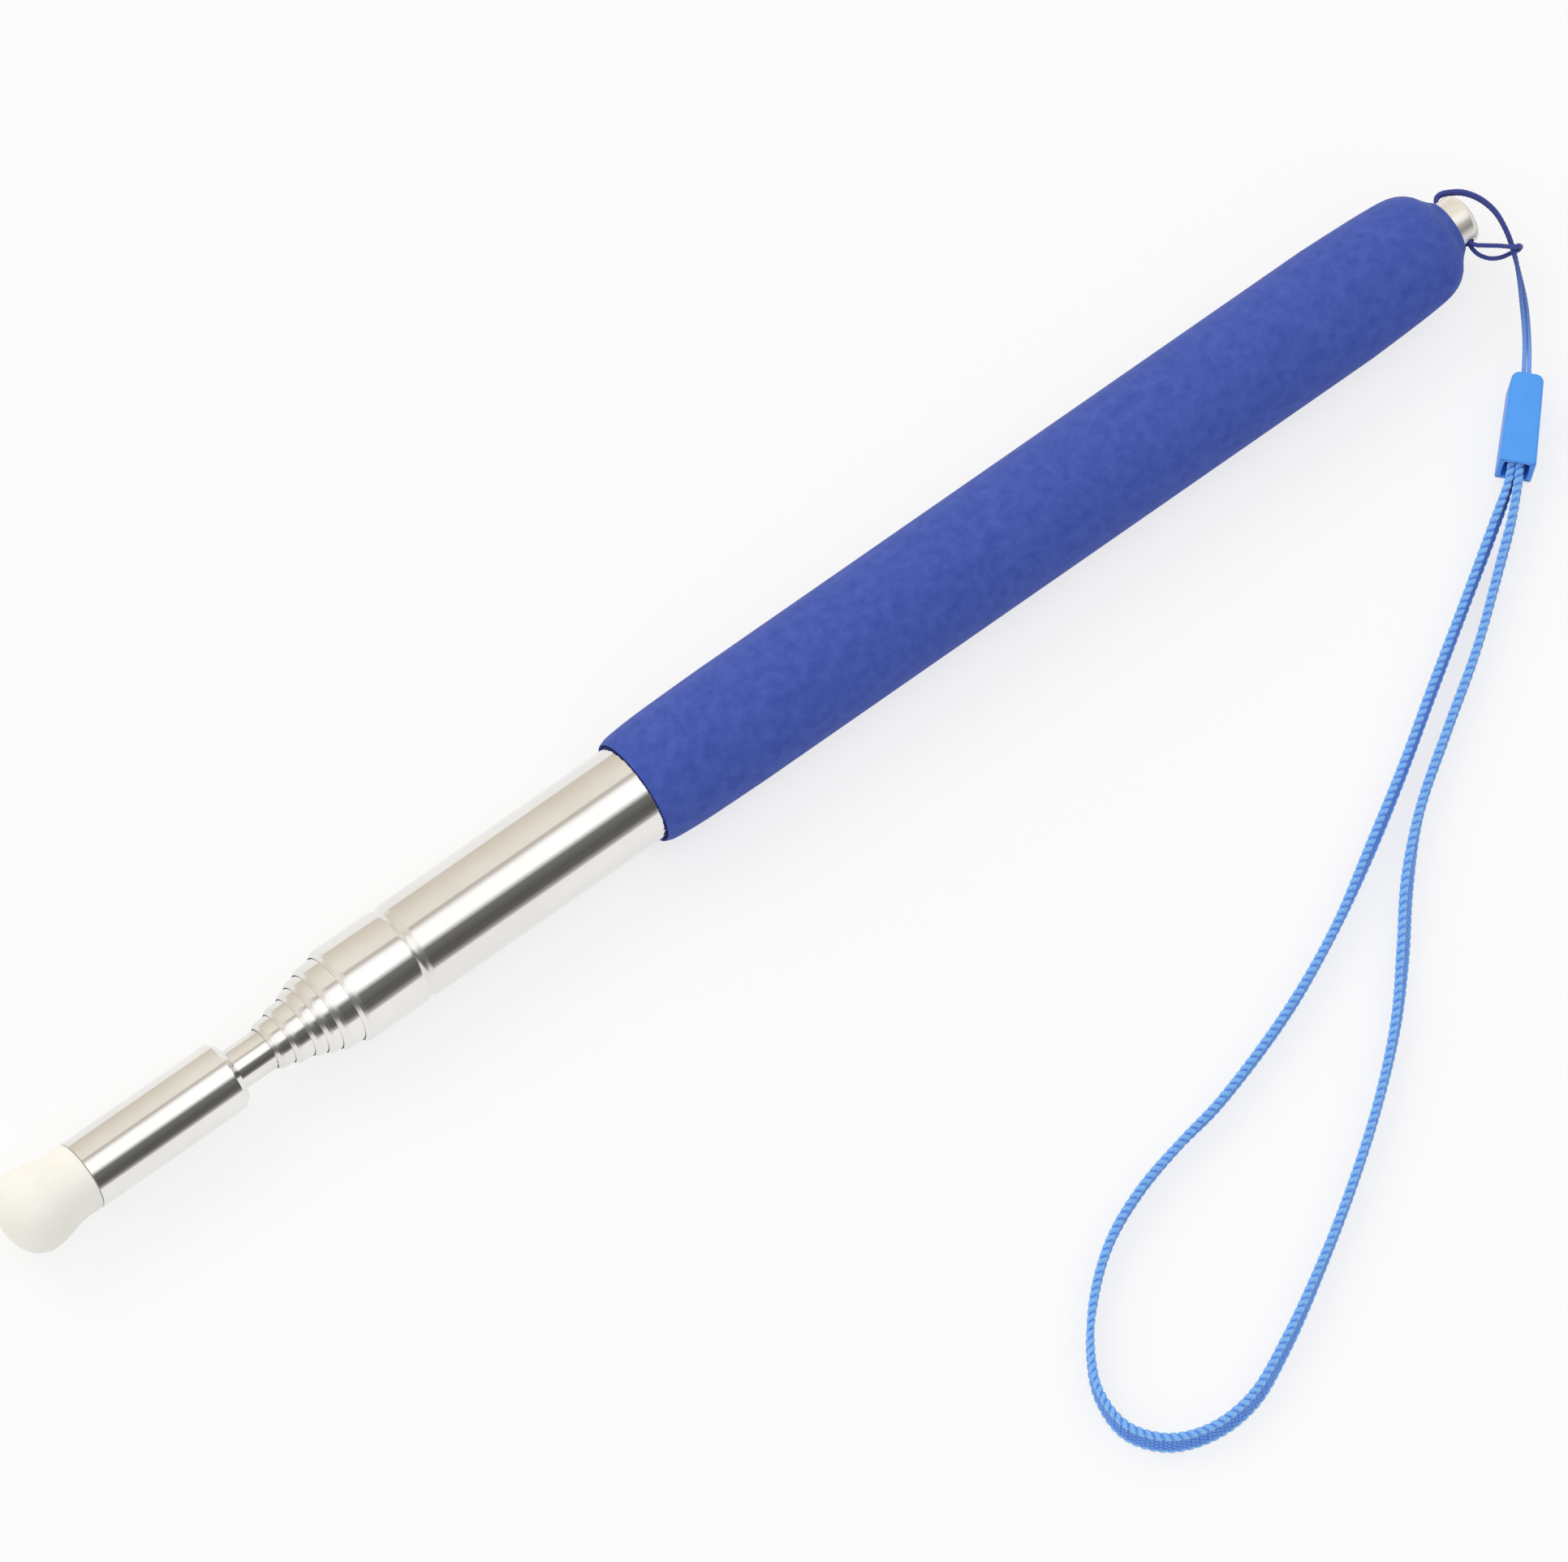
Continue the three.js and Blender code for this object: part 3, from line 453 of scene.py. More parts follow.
def groove(radius):
    """The wall's dip at the groove, from the front to the rear."""
    return [
        (GROOVE_STATION + (angle / (2 * math.pi) - 0.5) * GROOVE_WIDTH,
         radius - GROOVE_DEPTH * (1 - math.cos(angle)) / 2)
        for angle in np.linspace(0, 2 * math.pi, GROOVE_STEPS + 1)
    ]


def tube_outline(number):
    """A tube's wall with its rolled lip. The smallest holds no other, and its mouth is plain."""
    radius, mouth = tube_radius(number), MOUTHS[number]
    bore = radius - TUBE_WALL
    rear = SLIDING_TUBE_REAR if number else OUTER_TUBE_REAR
    if number == len(MOUTHS) - 1:
        return [(mouth, bore), (mouth, radius), (rear, radius), (rear, bore), (mouth, bore)]
    throat = radius - TUBE_STEP + LIP_CLEARANCE
    lip_height = radius - throat - LIP_EDGE
    lip = [(mouth + along, throat + LIP_EDGE + lip_height * share) for along, share in LIP_PROFILE]
    outside = [(mouth + LIP_FRONT, throat)] + rounded(lip, pieces=3)
    inside = [(mouth + LIP_DEPTH, bore), (mouth + LIP_DEPTH * LIP_FLAT_SHARE, throat), outside[0]]
    if number == 0:
        outside += groove(radius)
        inside = groove(bore)[::-1] + inside
    return outside + [(rear, radius), (rear, bore)] + inside


def volume(piece):
    """Cubic millimetres that the closed skin holds."""
    shape = bmesh.new()
    shape.from_mesh(piece.data)
    held = shape.calc_volume(signed=True) / MM**3
    shape.free()
    return held


def cut_away(piece, drill):
    """Takes the drill's shape out of the piece, and says how much went."""
    before = volume(piece)
    cut = piece.modifiers.new("hole", "BOOLEAN")
    cut.operation, cut.solver, cut.object = "DIFFERENCE", "MANIFOLD", drill
    start_fresh()
    piece.select_set(True)
    bpy.context.view_layer.objects.active = piece
    bpy.ops.object.modifier_apply(modifier=cut.name)
    bpy.data.objects.remove(drill)
    print(piece.name, "loses", round(before - volume(piece), 2), "of", round(before, 1), "mm3")


def bore_across(piece, station, radius, reach):
    """Drills through the piece and the pointer's axis, along Y."""
    start_fresh()
    bpy.ops.mesh.primitive_cylinder_add(
        vertices=DRILL_SIDES, radius=radius * MM, depth=2 * reach * MM,
        location=(station * MM, 0, AXIS_HEIGHT * MM), rotation=(math.pi / 2, 0, 0),
    )
    cut_away(piece, bpy.context.object)


tubes = [turned("bright_" + name, tube_outline(number)) for number, name in enumerate(TUBE_NAMES)]
for tube in tubes[1:]:
    bore_across(tube, BOSS_HOLE_STATION, BOSS_HOLE_RADIUS, OUTER_TUBE_RADIUS)
for number, tube in enumerate(tubes[:-1]):
    rolled = []
    for vertex in tube.data.vertices:
        station = vertex.co.x / MM
        from_axis = math.hypot(vertex.co.y, vertex.co.z - AXIS_HEIGHT * MM) / MM
        in_lip = station < MOUTHS[number] + LIP_DEPTH
        in_groove = number == 0 and abs(station - GROOVE_STATION) < GROOVE_WIDTH / 2
        drop = tube_radius(number) - from_axis - ROLL_STARTS if in_lip or in_groove else 0.0
        rolled.append(min(max(drop, 0.0) / ROLL_FULL, 1.0))
    tube.data.attributes.new("rolled", "FLOAT", "POINT").data.foreach_set("value", rolled)
print("boss holes drilled in", len(tubes) - 1, "tubes")

# %% [markdown]
# ## The grip
#
# The grip is a soft sleeve. Its front rim turns over in a short bevel and then swells slowly
# to 16 mm. The tail draws in like a bottle's shoulder and ends in a short collar round the
# stud. Both ends are curves through a few outline points.

# %% Grip sleeve
GRIP_FRONT, GRIP_TAIL, GRIP_RADIUS = -16.4, 110.2, 8.0
GRIP_BORE, GRIP_MOUTH_RADIUS, GRIP_MOUTH_DEPTH = 6.68, 7.05, 2.0
STUD_SHANK_BORE, GRIP_FLOOR = 2.16, 97.3
GRIP_RIM = [
    (0, 7.155), (0.06, 7.27), (0.22, 7.35), (0.8, 7.47), (1.65, 7.578), (4.8, 7.8),
    (9.75, 7.922), (15, GRIP_RADIUS),
]
GRIP_SHOULDER = [
    (17.5, GRIP_RADIUS), (12.6, 7.826), (7.5, 7.565), (4.73, 7.26), (3.33, 6.78),
    (2.19, 6.0), (1.49, 5.09), (0.88, 4.35), (0.4, 3.91), (0.12, 3.72), (0, 3.6),
]

grip_outline = [(GRIP_FRONT, GRIP_MOUTH_RADIUS)]
grip_outline += rounded([(GRIP_FRONT + inward, radius) for inward, radius in GRIP_RIM], pieces=5)
grip_outline += rounded(
    [(GRIP_TAIL - inward, radius) for inward, radius in GRIP_SHOULDER], pieces=5
)
grip_outline += [
    (GRIP_TAIL, STUD_SHANK_BORE), (GRIP_FLOOR, STUD_SHANK_BORE), (GRIP_FLOOR, GRIP_BORE),
    (GRIP_FRONT + GRIP_MOUTH_DEPTH, GRIP_BORE), (GRIP_FRONT, GRIP_MOUTH_RADIUS),
]
grip = turned("soft_grip", grip_outline, steps=128, crisp=35)

# %% [markdown]
# ## The ferrule and the bulb
#
# The ferrule is a bright sleeve whose rear end is necked down onto the smallest tube. The
# cream bulb in front of it grows out of a waist as wide as the ferrule and ends in a blunt,
# round nose.

# %% Ferrule and tip
FERRULE_FRONT, FERRULE_REAR, FERRULE_RADIUS = -101.6, -78.5, 4.7
FERRULE_BORE, FERRULE_THROAT, FERRULE_NECK = 4.2, 2.86, 1.1
FERRULE_EDGE = [(0, 0.1), (0.03, 0.03), (0.1, 0)]
NECK_OUTSIDE = [(1.0, 4.7), (0.6, 4.55), (0.25, 4.05), (0.1, 3.5), (0.0, 3.06)]
NECK_INSIDE = [(0, FERRULE_THROAT), (0.7, FERRULE_THROAT), (1.1, 3.7), (1.6, FERRULE_BORE)]


def on_neck(profile):
    """From shares of the neck's length to outline points."""
    return [(FERRULE_REAR - FERRULE_NECK * share, radius) for share, radius in profile]


ferrule_outline = [(FERRULE_FRONT, FERRULE_BORE)]
ferrule_outline += [
    (FERRULE_FRONT + inward, FERRULE_RADIUS - less) for inward, less in FERRULE_EDGE
]
ferrule_outline += rounded(on_neck(NECK_OUTSIDE), pieces=4) + on_neck(NECK_INSIDE)
ferrule_outline += [(FERRULE_FRONT, FERRULE_BORE)]
ferrule = turned("bright_ferrule", ferrule_outline)

TIP_END, TIP_BULB, TIP_BULB_RADIUS = -113.5, -109.3, 5.55
TIP_ROOT, TIP_ROOT_RADIUS, TIP_WAIST = -101.65, 4.6, 5.65
SPIGOT_RADIUS, SPIGOT_LENGTH = 4.14, 4.2
NOSE_STEPS, NOSE_BLUNTNESS, SWELL_STEPS = 19, 0.9, 15

tip_outline = []
for angle in np.linspace(0, math.pi / 2, NOSE_STEPS + 1):
    nose = (TIP_BULB - TIP_END) * math.cos(angle)
    tip_outline.append((TIP_BULB - nose, TIP_BULB_RADIUS * math.sin(angle) ** NOSE_BLUNTNESS))
for angle in np.linspace(0, math.pi, SWELL_STEPS + 1)[1:]:
    swell = (TIP_BULB_RADIUS - TIP_ROOT_RADIUS) * (1 + math.cos(angle)) / 2
    tip_outline.append((TIP_BULB + TIP_WAIST * angle / math.pi, TIP_ROOT_RADIUS + swell))
tip_outline += [
    (TIP_ROOT - 0.05, TIP_ROOT_RADIUS), (TIP_ROOT, TIP_ROOT_RADIUS - 0.06),
    (TIP_ROOT, SPIGOT_RADIUS), (TIP_ROOT + SPIGOT_LENGTH, SPIGOT_RADIUS),
    (TIP_ROOT + SPIGOT_LENGTH, 0),
]
tip = turned("cream_tip", tip_outline, crisp=40)

# %% [markdown]
# ## The tail stud
#
# The stud's round head stands a little proud of the collar. The string goes through a hole
# across it, which is drilled with a Boolean modifier.

# %% Tail stud
STUD_RADIUS, STUD_EDGE, STUD_END = 3.3, 112.1, 113.5
SHANK_RADIUS, SHANK_FRONT, STUD_FACE = 2.1, 80.0, 110.25
SHANK_CHAMFER, STUD_CHAMFER = 0.3, 0.08
STUD_HOLE_RADIUS, DOME_STEPS = 0.72, 15

stud_outline = [
    (SHANK_FRONT, 0), (SHANK_FRONT, SHANK_RADIUS - SHANK_CHAMFER),
    (SHANK_FRONT + SHANK_CHAMFER, SHANK_RADIUS), (STUD_FACE, SHANK_RADIUS),
    (STUD_FACE, STUD_RADIUS - STUD_CHAMFER), (STUD_FACE + STUD_CHAMFER, STUD_RADIUS),
]
for angle in np.linspace(0, math.pi / 2, DOME_STEPS, endpoint=False):
    rise = (STUD_END - STUD_EDGE) * math.sin(angle)
    stud_outline.append((STUD_EDGE + rise, STUD_RADIUS * math.cos(angle)))
stud_outline.append((STUD_END, 0))
stud = turned("bright_stud", stud_outline)
bore_across(stud, STUD_HOLE, STUD_HOLE_RADIUS, STUD_RADIUS + 1)
print("string hole of", 2 * STUD_HOLE_RADIUS, "mm")

# %% [markdown]
# ## The clip
#
# A small plastic shell joins string and strap. It is a box that widens towards its open
# mouth. It starts as a cube, stretched in edit mode: the string end is narrowed, its two
# upright corners get a round, the rims of top and bottom a smaller one, and the mouth's face
# is inset and pushed in to make the hollow. The mouth's own edges get the smallest round, and
# a hole for the string goes through the closed end. Last it is rolled and turned into place.

# %% Clip shell
CLIP_END_WIDTH, CLIP_CORNER, CLIP_EDGE, CLIP_WALL = 4.0, 1.0, 0.4, 0.7
CLIP_END_WALL, CLIP_STRING_HOLE = 1.0, 0.8
CLIP_MOUTH_ROUND, CLIP_CRISP = 0.12, 35
TOLERANCE, SHARP_TURN = 0.01, 1.0
CLIP_STRING_END, CLIP_STRAP_END = (-4.55, -20.7), (-12.95, -29.5)
CLIP_ORIGIN, CLIP_AIM = (
    Vector((STUD_HOLE + x, y, CLIP_AXIS_HEIGHT)) * MM for x, y in (CLIP_STRING_END, CLIP_STRAP_END)
)


def pick(piece, kind, test):
    """Edit mode: selects the edges or faces that pass the test, and nothing else."""
    bpy.ops.mesh.select_mode(type=kind)
    bpy.ops.mesh.select_all(action="DESELECT")
    shape = bmesh.from_edit_mesh(piece.data)
    for element in shape.edges if kind == "EDGE" else shape.faces:
        element.select_set(test(element))
    shape.select_flush_mode()
    bmesh.update_edit_mesh(piece.data)


def middle(edge):
    """The edge's middle, in millimetres."""
    return (edge.verts[0].co + edge.verts[1].co) / 2 / MM


def upright_edge(edge):
    """Whether the edge climbs by more than a millimetre."""
    return abs((edge.verts[0].co - edge.verts[1].co).z) > MM


start_fresh()
bpy.ops.mesh.primitive_cube_add(size=MM, location=(0, 0, 0))
clip = bpy.context.object
clip.name = clip.data.name = "clip_plastic_shell"
bpy.ops.object.mode_set(mode="EDIT")
bpy.ops.mesh.select_all(action="SELECT")
box = Vector((CLIP_LENGTH, CLIP_MOUTH_WIDTH, CLIP_HEIGHT))
bpy.ops.transform.resize(value=box, center_override=(0, 0, 0))
bpy.ops.transform.translate(value=(CLIP_LENGTH / 2 * MM, 0, 0))
pick(clip, "FACE", lambda face: face.normal.x < -0.9)
narrower = CLIP_END_WIDTH / CLIP_MOUTH_WIDTH
bpy.ops.transform.resize(value=(1, narrower, 1), center_override=(0, 0, 0))
pick(clip, "EDGE", lambda edge: upright_edge(edge) and middle(edge).x < TOLERANCE)
bpy.ops.mesh.bevel(offset=CLIP_CORNER * MM, segments=6, affect="EDGES")
pick(clip, "EDGE", lambda edge: (
    abs(middle(edge).z) > CLIP_HEIGHT / 2 - TOLERANCE
    and middle(edge).x < CLIP_LENGTH - TOLERANCE
))
bpy.ops.mesh.bevel(offset=CLIP_EDGE * MM, segments=4, affect="EDGES")
pick(clip, "FACE", lambda face: face.normal.x > 0.9 and face.calc_area() > MM * MM)
bpy.ops.mesh.inset(thickness=CLIP_WALL * MM)
bpy.ops.mesh.extrude_region_move(
    TRANSFORM_OT_translate={"value": ((CLIP_END_WALL - CLIP_LENGTH) * MM, 0, 0)}
)
pick(clip, "EDGE", lambda edge: (
    middle(edge).x > CLIP_LENGTH - TOLERANCE and edge.calc_face_angle(0) > SHARP_TURN
))
bpy.ops.mesh.bevel(offset=CLIP_MOUTH_ROUND * MM, segments=2, affect="EDGES")
bpy.ops.object.mode_set(mode="OBJECT")

start_fresh()
bpy.ops.mesh.primitive_cylinder_add(
    vertices=DRILL_SIDES, radius=CLIP_STRING_HOLE * MM, depth=3 * CLIP_END_WALL * MM,
    rotation=(0, math.pi / 2, 0),
)
cut_away(clip, bpy.context.object)
bpy.ops.object.shade_smooth_by_angle(angle=math.radians(CLIP_CRISP))

aim = CLIP_AIM - CLIP_ORIGIN
heading = Matrix.Rotation(math.atan2(aim.y, aim.x), 4, "Z")
rolled_over = Matrix.Rotation(-CLIP_ROLL, 4, "X")
clip.data.transform(Matrix.Translation(CLIP_ORIGIN) @ heading @ rolled_over)
print("clip", len(clip.data.polygons), "faces")

# %% [markdown]
# ## Building materials
#
# Every finish is a Principled shader fed by a few procedural nodes. One helper adds a node,
# sets its values and links its inputs, which keeps each material readable. The colours of
# rubber, plastic and thread are written as they look on screen and turned into the linear
# values that a shader wants. The others are linear already.

# %% Node helpers
def linear(red, green, blue):
    """A screen colour, 0 to 255 a channel, as linear light with alpha."""
    return tuple(
        value / 255 / 12.92 if value <= 10.3 else ((value / 255 + 0.055) / 1.055) ** 2.4
        for value in (red, green, blue)
    ) + (1.0,)


def add(tree, kind, inputs=None, **settings):
    """A node with its settings. Each input is given a value, or a socket that feeds it."""
    node = tree.nodes.new(kind)
    for name, value in settings.items():
        setattr(node, name, value)
    for name, value in (inputs or {}).items():
        socket = node.inputs[name]
        if isinstance(value, bpy.types.NodeSocket):
            tree.links.new(value, socket)
        else:
            socket.default_value = value
    return node


def new_finish(name):
    """A new material with its node tree and its Principled shader."""
    material = bpy.data.materials.new(name)
    material.use_nodes = True
    return material, material.node_tree, material.node_tree.nodes["Principled BSDF"]


def blend_colours(tree, share, first, second):
    """From the first colour at share 0 to the second at 1."""
    node = add(tree, "ShaderNodeMix", {"Factor": share, 6: first, 7: second}, data_type="RGBA")
    return node.outputs[2]


def new_group(name, inputs, outputs):
    """An empty node group with its number inputs and outputs, and its two end nodes."""
    group = bpy.data.node_groups.new(name, "ShaderNodeTree")
    for label, value in inputs.items():
        socket = group.interface.new_socket(label, in_out="INPUT", socket_type="NodeSocketFloat")
        socket.default_value = value
    for label in outputs:
        group.interface.new_socket(label, in_out="OUTPUT", socket_type="NodeSocketFloat")
    return group, group.nodes.new("NodeGroupInput"), group.nodes.new("NodeGroupOutput")


def place_group(tree, group, **values):
    """A group in a material's tree. An underscore stands for a blank in an input's name."""
    node = tree.nodes.new("ShaderNodeGroup")
    node.node_tree = group
    for name, value in values.items():
        node.inputs[name.replace("_", " ")].default_value = value
    return node


# %% [markdown]
# Two effects come back in several finishes, so each is a group. **Mottle** gives soft blotches
# and a fine grain, for rubber, moulded plastic and thread. **Rub marks** are fine streaks drawn
# out along the pointer, as sliding tubes leave on each other, with faint patches of handling.

# %% Shared effects
def scale_of(group, size):
    """The noise scale that gives marks of that size, which is in millimetres."""
    return add(group, "ShaderNodeMath", {0: 1 / MM, 1: size}, operation="DIVIDE").outputs[0]


mottle_group, group_in, group_out = new_group(
    "mottle", {"Blotch size": 3.0, "Grain size": 0.2}, ["Blotches", "Grain"]
)
place = add(mottle_group, "ShaderNodeTexCoord").outputs["Object"]
for size_name, result, detail in (("Blotch size", "Blotches", 3.0), ("Grain size", "Grain", 2.0)):
    scale = scale_of(mottle_group, group_in.outputs[size_name])
    noise = add(mottle_group, "ShaderNodeTexNoise", {
        "Vector": place, "Scale": scale, "Detail": detail, "Roughness": 0.6,
    })
    mottle_group.links.new(noise.outputs["Fac"], group_out.inputs[result])

rub_group, group_in, group_out = new_group(
    "rub marks", {"Width": 0.12, "Length": 18.0}, ["Streaks", "Patches"]
)
place = add(rub_group, "ShaderNodeTexCoord").outputs["Object"]
across_scale = scale_of(rub_group, group_in.outputs["Width"])
along_scale = scale_of(rub_group, group_in.outputs["Length"])
stretch = add(rub_group, "ShaderNodeCombineXYZ", {
    "X": along_scale, "Y": across_scale, "Z": across_scale,
})
stretched = add(
    rub_group, "ShaderNodeVectorMath", {0: place, 1: stretch.outputs[0]}, operation="MULTIPLY"
)
streaks = add(rub_group, "ShaderNodeTexNoise", {
    "Vector": stretched.outputs[0], "Scale": 1.0, "Detail": 4.0,
})
patches = add(rub_group, "ShaderNodeTexNoise", {"Vector": place, "Scale": 90.0, "Detail": 3.0})
rub_group.links.new(streaks.outputs["Fac"], group_out.inputs["Streaks"])
rub_group.links.new(patches.outputs["Fac"], group_out.inputs["Patches"])
print("groups:", mottle_group.name, "and", rub_group.name)

# %% [markdown]
# ## Bright nickel
#
# Polished metal shows the room, so most of its look is light and very little of it is colour.
# It is never a perfect mirror, though: fine rub marks along the tubes change how sharp the
# reflection is, and patches of handling shift its tone. The stud is small and handled most.
# It has the same plate with a satin surface, which spreads the dark screen's reflection until
# it is gone.

# %% Nickel
def value_range(tree, value, low, high, from_low=0.3, from_high=0.7):
    """Stretches a value to another range. Most noise lies between 0.3 and 0.7."""
    node = add(tree, "ShaderNodeMapRange", {
        "Value": value, "From Min": from_low, "From Max": from_high, "To Min": low, "To Max": high,
    })
    return node.outputs["Result"]


def bump(tree, height, strength, distance):
    """Turns a height into a surface direction. The distance is in millimetres."""
    node = add(tree, "ShaderNodeBump", {
        "Height": height, "Strength": strength, "Distance": distance * MM,
    })
    return node.outputs["Normal"]


def metal(name, first, second, width, length, polish, furrows=0.0, rolled=0.0):
    """Patches shift the tone, and rub marks of that width and length shift the polish."""
    material, tree, shader = new_finish(name)
    marks = place_group(tree, rub_group, Width=width, Length=length)
    tone = value_range(tree, marks.outputs["Patches"], 0.0, 1.0)
    tree.links.new(blend_colours(tree, tone, first, second), shader.inputs["Base Color"])
    roughness = value_range(tree, marks.outputs["Streaks"], *polish)
    if rolled:
        here = add(tree, "ShaderNodeAttribute", attribute_name="rolled").outputs["Fac"]
        roughness = add(
            tree, "ShaderNodeMath", {0: here, 1: rolled, 2: roughness}, operation="MULTIPLY_ADD"
        ).outputs[0]
    tree.links.new(roughness, shader.inputs["Roughness"])
    if furrows:
        normal = bump(tree, marks.outputs["Streaks"], furrows, 0.01)
        tree.links.new(normal, shader.inputs["Normal"])
    shader.inputs["Metallic"].default_value = 1.0
    return material


nickel = metal(
    "bright nickel", (0.80, 0.785, 0.755, 1), (0.86, 0.85, 0.83, 1),
    width=0.1, length=22.0, polish=(0.045, 0.11), furrows=0.08, rolled=0.16,
)
satin_nickel = metal(
    "satin nickel", (0.90, 0.865, 0.80, 1), (0.96, 0.935, 0.88, 1),
    width=0.25, length=2.5, polish=(0.36, 0.48), furrows=0.1,
)
print("metals:", nickel.name, "and", satin_nickel.name)

# %% [markdown]
# ## Soft grip, bulb and clip
#
# The grip's blue coat is matte and a little dusty. Soft blotches shift its colour and a fine
# grain breaks its sheen. The bulb is a satin cream rubber and the clip a smooth light blue
# plastic, both calmer than the grip.

# %% Grip, tip and clip finishes
def moulded(name, first, second, blotch, grain, roughness, depth):
    """A matte moulded material: two near colours in blotches, and a fine grain."""
    material, tree, shader = new_finish(name)
    pattern = place_group(tree, mottle_group, Blotch_size=blotch, Grain_size=grain)
    share = value_range(tree, pattern.outputs["Blotches"], 0.0, 1.0)
    tree.links.new(blend_colours(tree, share, first, second), shader.inputs["Base Color"])
    grain = pattern.outputs["Grain"]
    tree.links.new(value_range(tree, grain, *roughness), shader.inputs["Roughness"])
    tree.links.new(bump(tree, grain, 0.35, depth), shader.inputs["Normal"])
    return material, shader


grip_rubber, shader = moulded(
    "soft blue grip", linear(62, 84, 172), linear(76, 98, 186), 1.6, 0.35, (0.6, 0.8), 0.03
)
shader.inputs["Sheen Weight"].default_value = 0.04
shader.inputs["Sheen Roughness"].default_value = 0.5
shader.inputs["Specular IOR Level"].default_value = 0.15

tip_rubber, shader = moulded(
    "cream rubber", linear(250, 249, 239), linear(254, 253, 246), 3.0, 0.25, (0.42, 0.55), 0.01
)
shader.inputs["Subsurface Weight"].default_value = 0.25
shader.inputs["Subsurface Radius"].default_value = (1.0, 0.8, 0.6)
shader.inputs["Subsurface Scale"].default_value = 0.6 * MM

clip_plastic, shader = moulded(
    "light blue plastic", linear(83, 162, 254), linear(88, 167, 255), 2.5, 0.15, (0.34, 0.46), 0.006
)
shader.inputs["Specular IOR Level"].default_value = 0.25
plug_plastic, shader = moulded(
    "dark moulded plastic", linear(44, 45, 49), linear(52, 53, 57), 3.0, 0.2, (0.45, 0.6), 0.01
)
for material in (grip_rubber, tip_rubber, clip_plastic, plug_plastic):
    print("moulded:", material.name)

# %% [markdown]
# ## String and braid
#
# The braid's yarns carry a value called *rise*: 1 where the yarn stands proud and 0 down in
# the gaps. Deep parts get painted shade, a darker colour where light can't reach, and a fine
# grain stands in for the single fibres.

# %% Cord finishes
def fibre_finish(name, deep, proud, rise):
    """Thread: the rise function gives the share of the second colour, and a grain blurs it."""
    material, tree, shader = new_finish(name)
    pattern = place_group(tree, mottle_group, Blotch_size=1.2, Grain_size=0.12)
    grain = pattern.outputs["Grain"]
    blur = value_range(tree, grain, -0.12, 0.12)
    share = add(tree, "ShaderNodeMath", {0: rise(tree), 1: blur}, operation="ADD", use_clamp=True)
    tree.links.new(blend_colours(tree, share.outputs[0], deep, proud), shader.inputs["Base Color"])
    tree.links.new(value_range(tree, grain, 0.7, 0.9), shader.inputs["Roughness"])
    tree.links.new(bump(tree, grain, 0.5, 0.02), shader.inputs["Normal"])
    shader.inputs["Specular IOR Level"].default_value = 0.3
    shader.inputs["Sheen Weight"].default_value = 0.2
    return material


def painted_shade_rise(tree):
    """How proud the yarn stands, as it was noted on the strap's mesh. Where it is low, the braid
    gets painted shade.
    """
    value = add(tree, "ShaderNodeAttribute", attribute_name="rise").outputs["Fac"]
    return value_range(tree, value, 0.0, 1.0, 0.45, 1.05)


def nearness_to_clip(tree):
    """The string grows paler down at the clip: 0 at the stud, 1 at the clip."""
    place = add(tree, "ShaderNodeTexCoord").outputs["Object"]
    sideways = add(tree, "ShaderNodeSeparateXYZ", {0: place}).outputs["Y"]
    return value_range(tree, sideways, 1.0, 0.0, -21.0 * MM, -6.0 * MM)


# The braid's first colour is painted shade for the gaps between yarns, the second that of proud
# yarn.
strap_braid = fibre_finish(
    "light blue braid", linear(38, 92, 226), linear(142, 203, 255), painted_shade_rise
)
string_cord = fibre_finish(
    "dark blue string", linear(58, 68, 146), linear(126, 179, 252), nearness_to_clip
)
print("threads:", strap_braid.name, "and", string_cord.name)

# %% [markdown]
# ## Metals inside
#
# The friction sleeves are bare spring brass and the crimp in the clip is bent steel sheet.
# They are hidden when the pointer is closed, yet a pulled-out tube may show one.

# %% Inner metals
BARE = {"width": 0.2, "length": 3.0, "polish": (0.25, 0.4)}
sleeve_brass = metal("spring brass", (0.55, 0.36, 0.12, 1), (0.66, 0.46, 0.18, 1), **BARE)
crimp_steel = metal("crimp steel", (0.40, 0.41, 0.42, 1), (0.50, 0.51, 0.52, 1), **BARE)
print(len(bpy.data.materials), "materials")

# %% [markdown]
# ## Putting it together
#
# Each modelled piece rides on the CAD body it belongs to and stands for its CAD node. The
# inner pieces keep their CAD shape and only change their finish.

# %% Dress, ride and replace
SECTIONS = ["handle"] + [f"section_{number}" for number in range(2, 8)]
dressed = [
    (grip, "handle", "grip_sleeve", grip_rubber, "grip_rubber"),
    (stud, "handle", "tail_stud", satin_nickel, "nickel"),
    (clip, "handle", "clip_shell", clip_plastic, "clip_plastic"),
    (string, "handle", "string_loop", string_cord, "string_cord"),
    (strap, "handle", "wrist_strap", strap_braid, "strap_braid"),
    (ferrule, "section_7", "tip_ferrule", nickel, "nickel"),
    (tip, "section_7", "pointer_tip", tip_rubber, "tip_rubber"),
]
dressed += [
    (tube, body, node, nickel, "nickel") for tube, body, node in zip(tubes, SECTIONS, TUBE_NAMES)
]
for piece, body, node, material, slot in dressed:
    piece.data.materials.clear()
    piece.data.materials.append(material)
    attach(piece, body)
    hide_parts(node)

kept_nodes = {"tail_plug": plug_plastic, "ferrule_bush": plug_plastic, "strap_crimp": crimp_steel}
kept_nodes.update({f"friction_sleeve_{number}": sleeve_brass for number in range(2, 8)})
for node, material in kept_nodes.items():
    for material_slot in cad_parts[node].material_slots:
        material_slot.material = material
print(len(dressed), "pieces dressed,", len(kept_nodes), "CAD nodes kept")

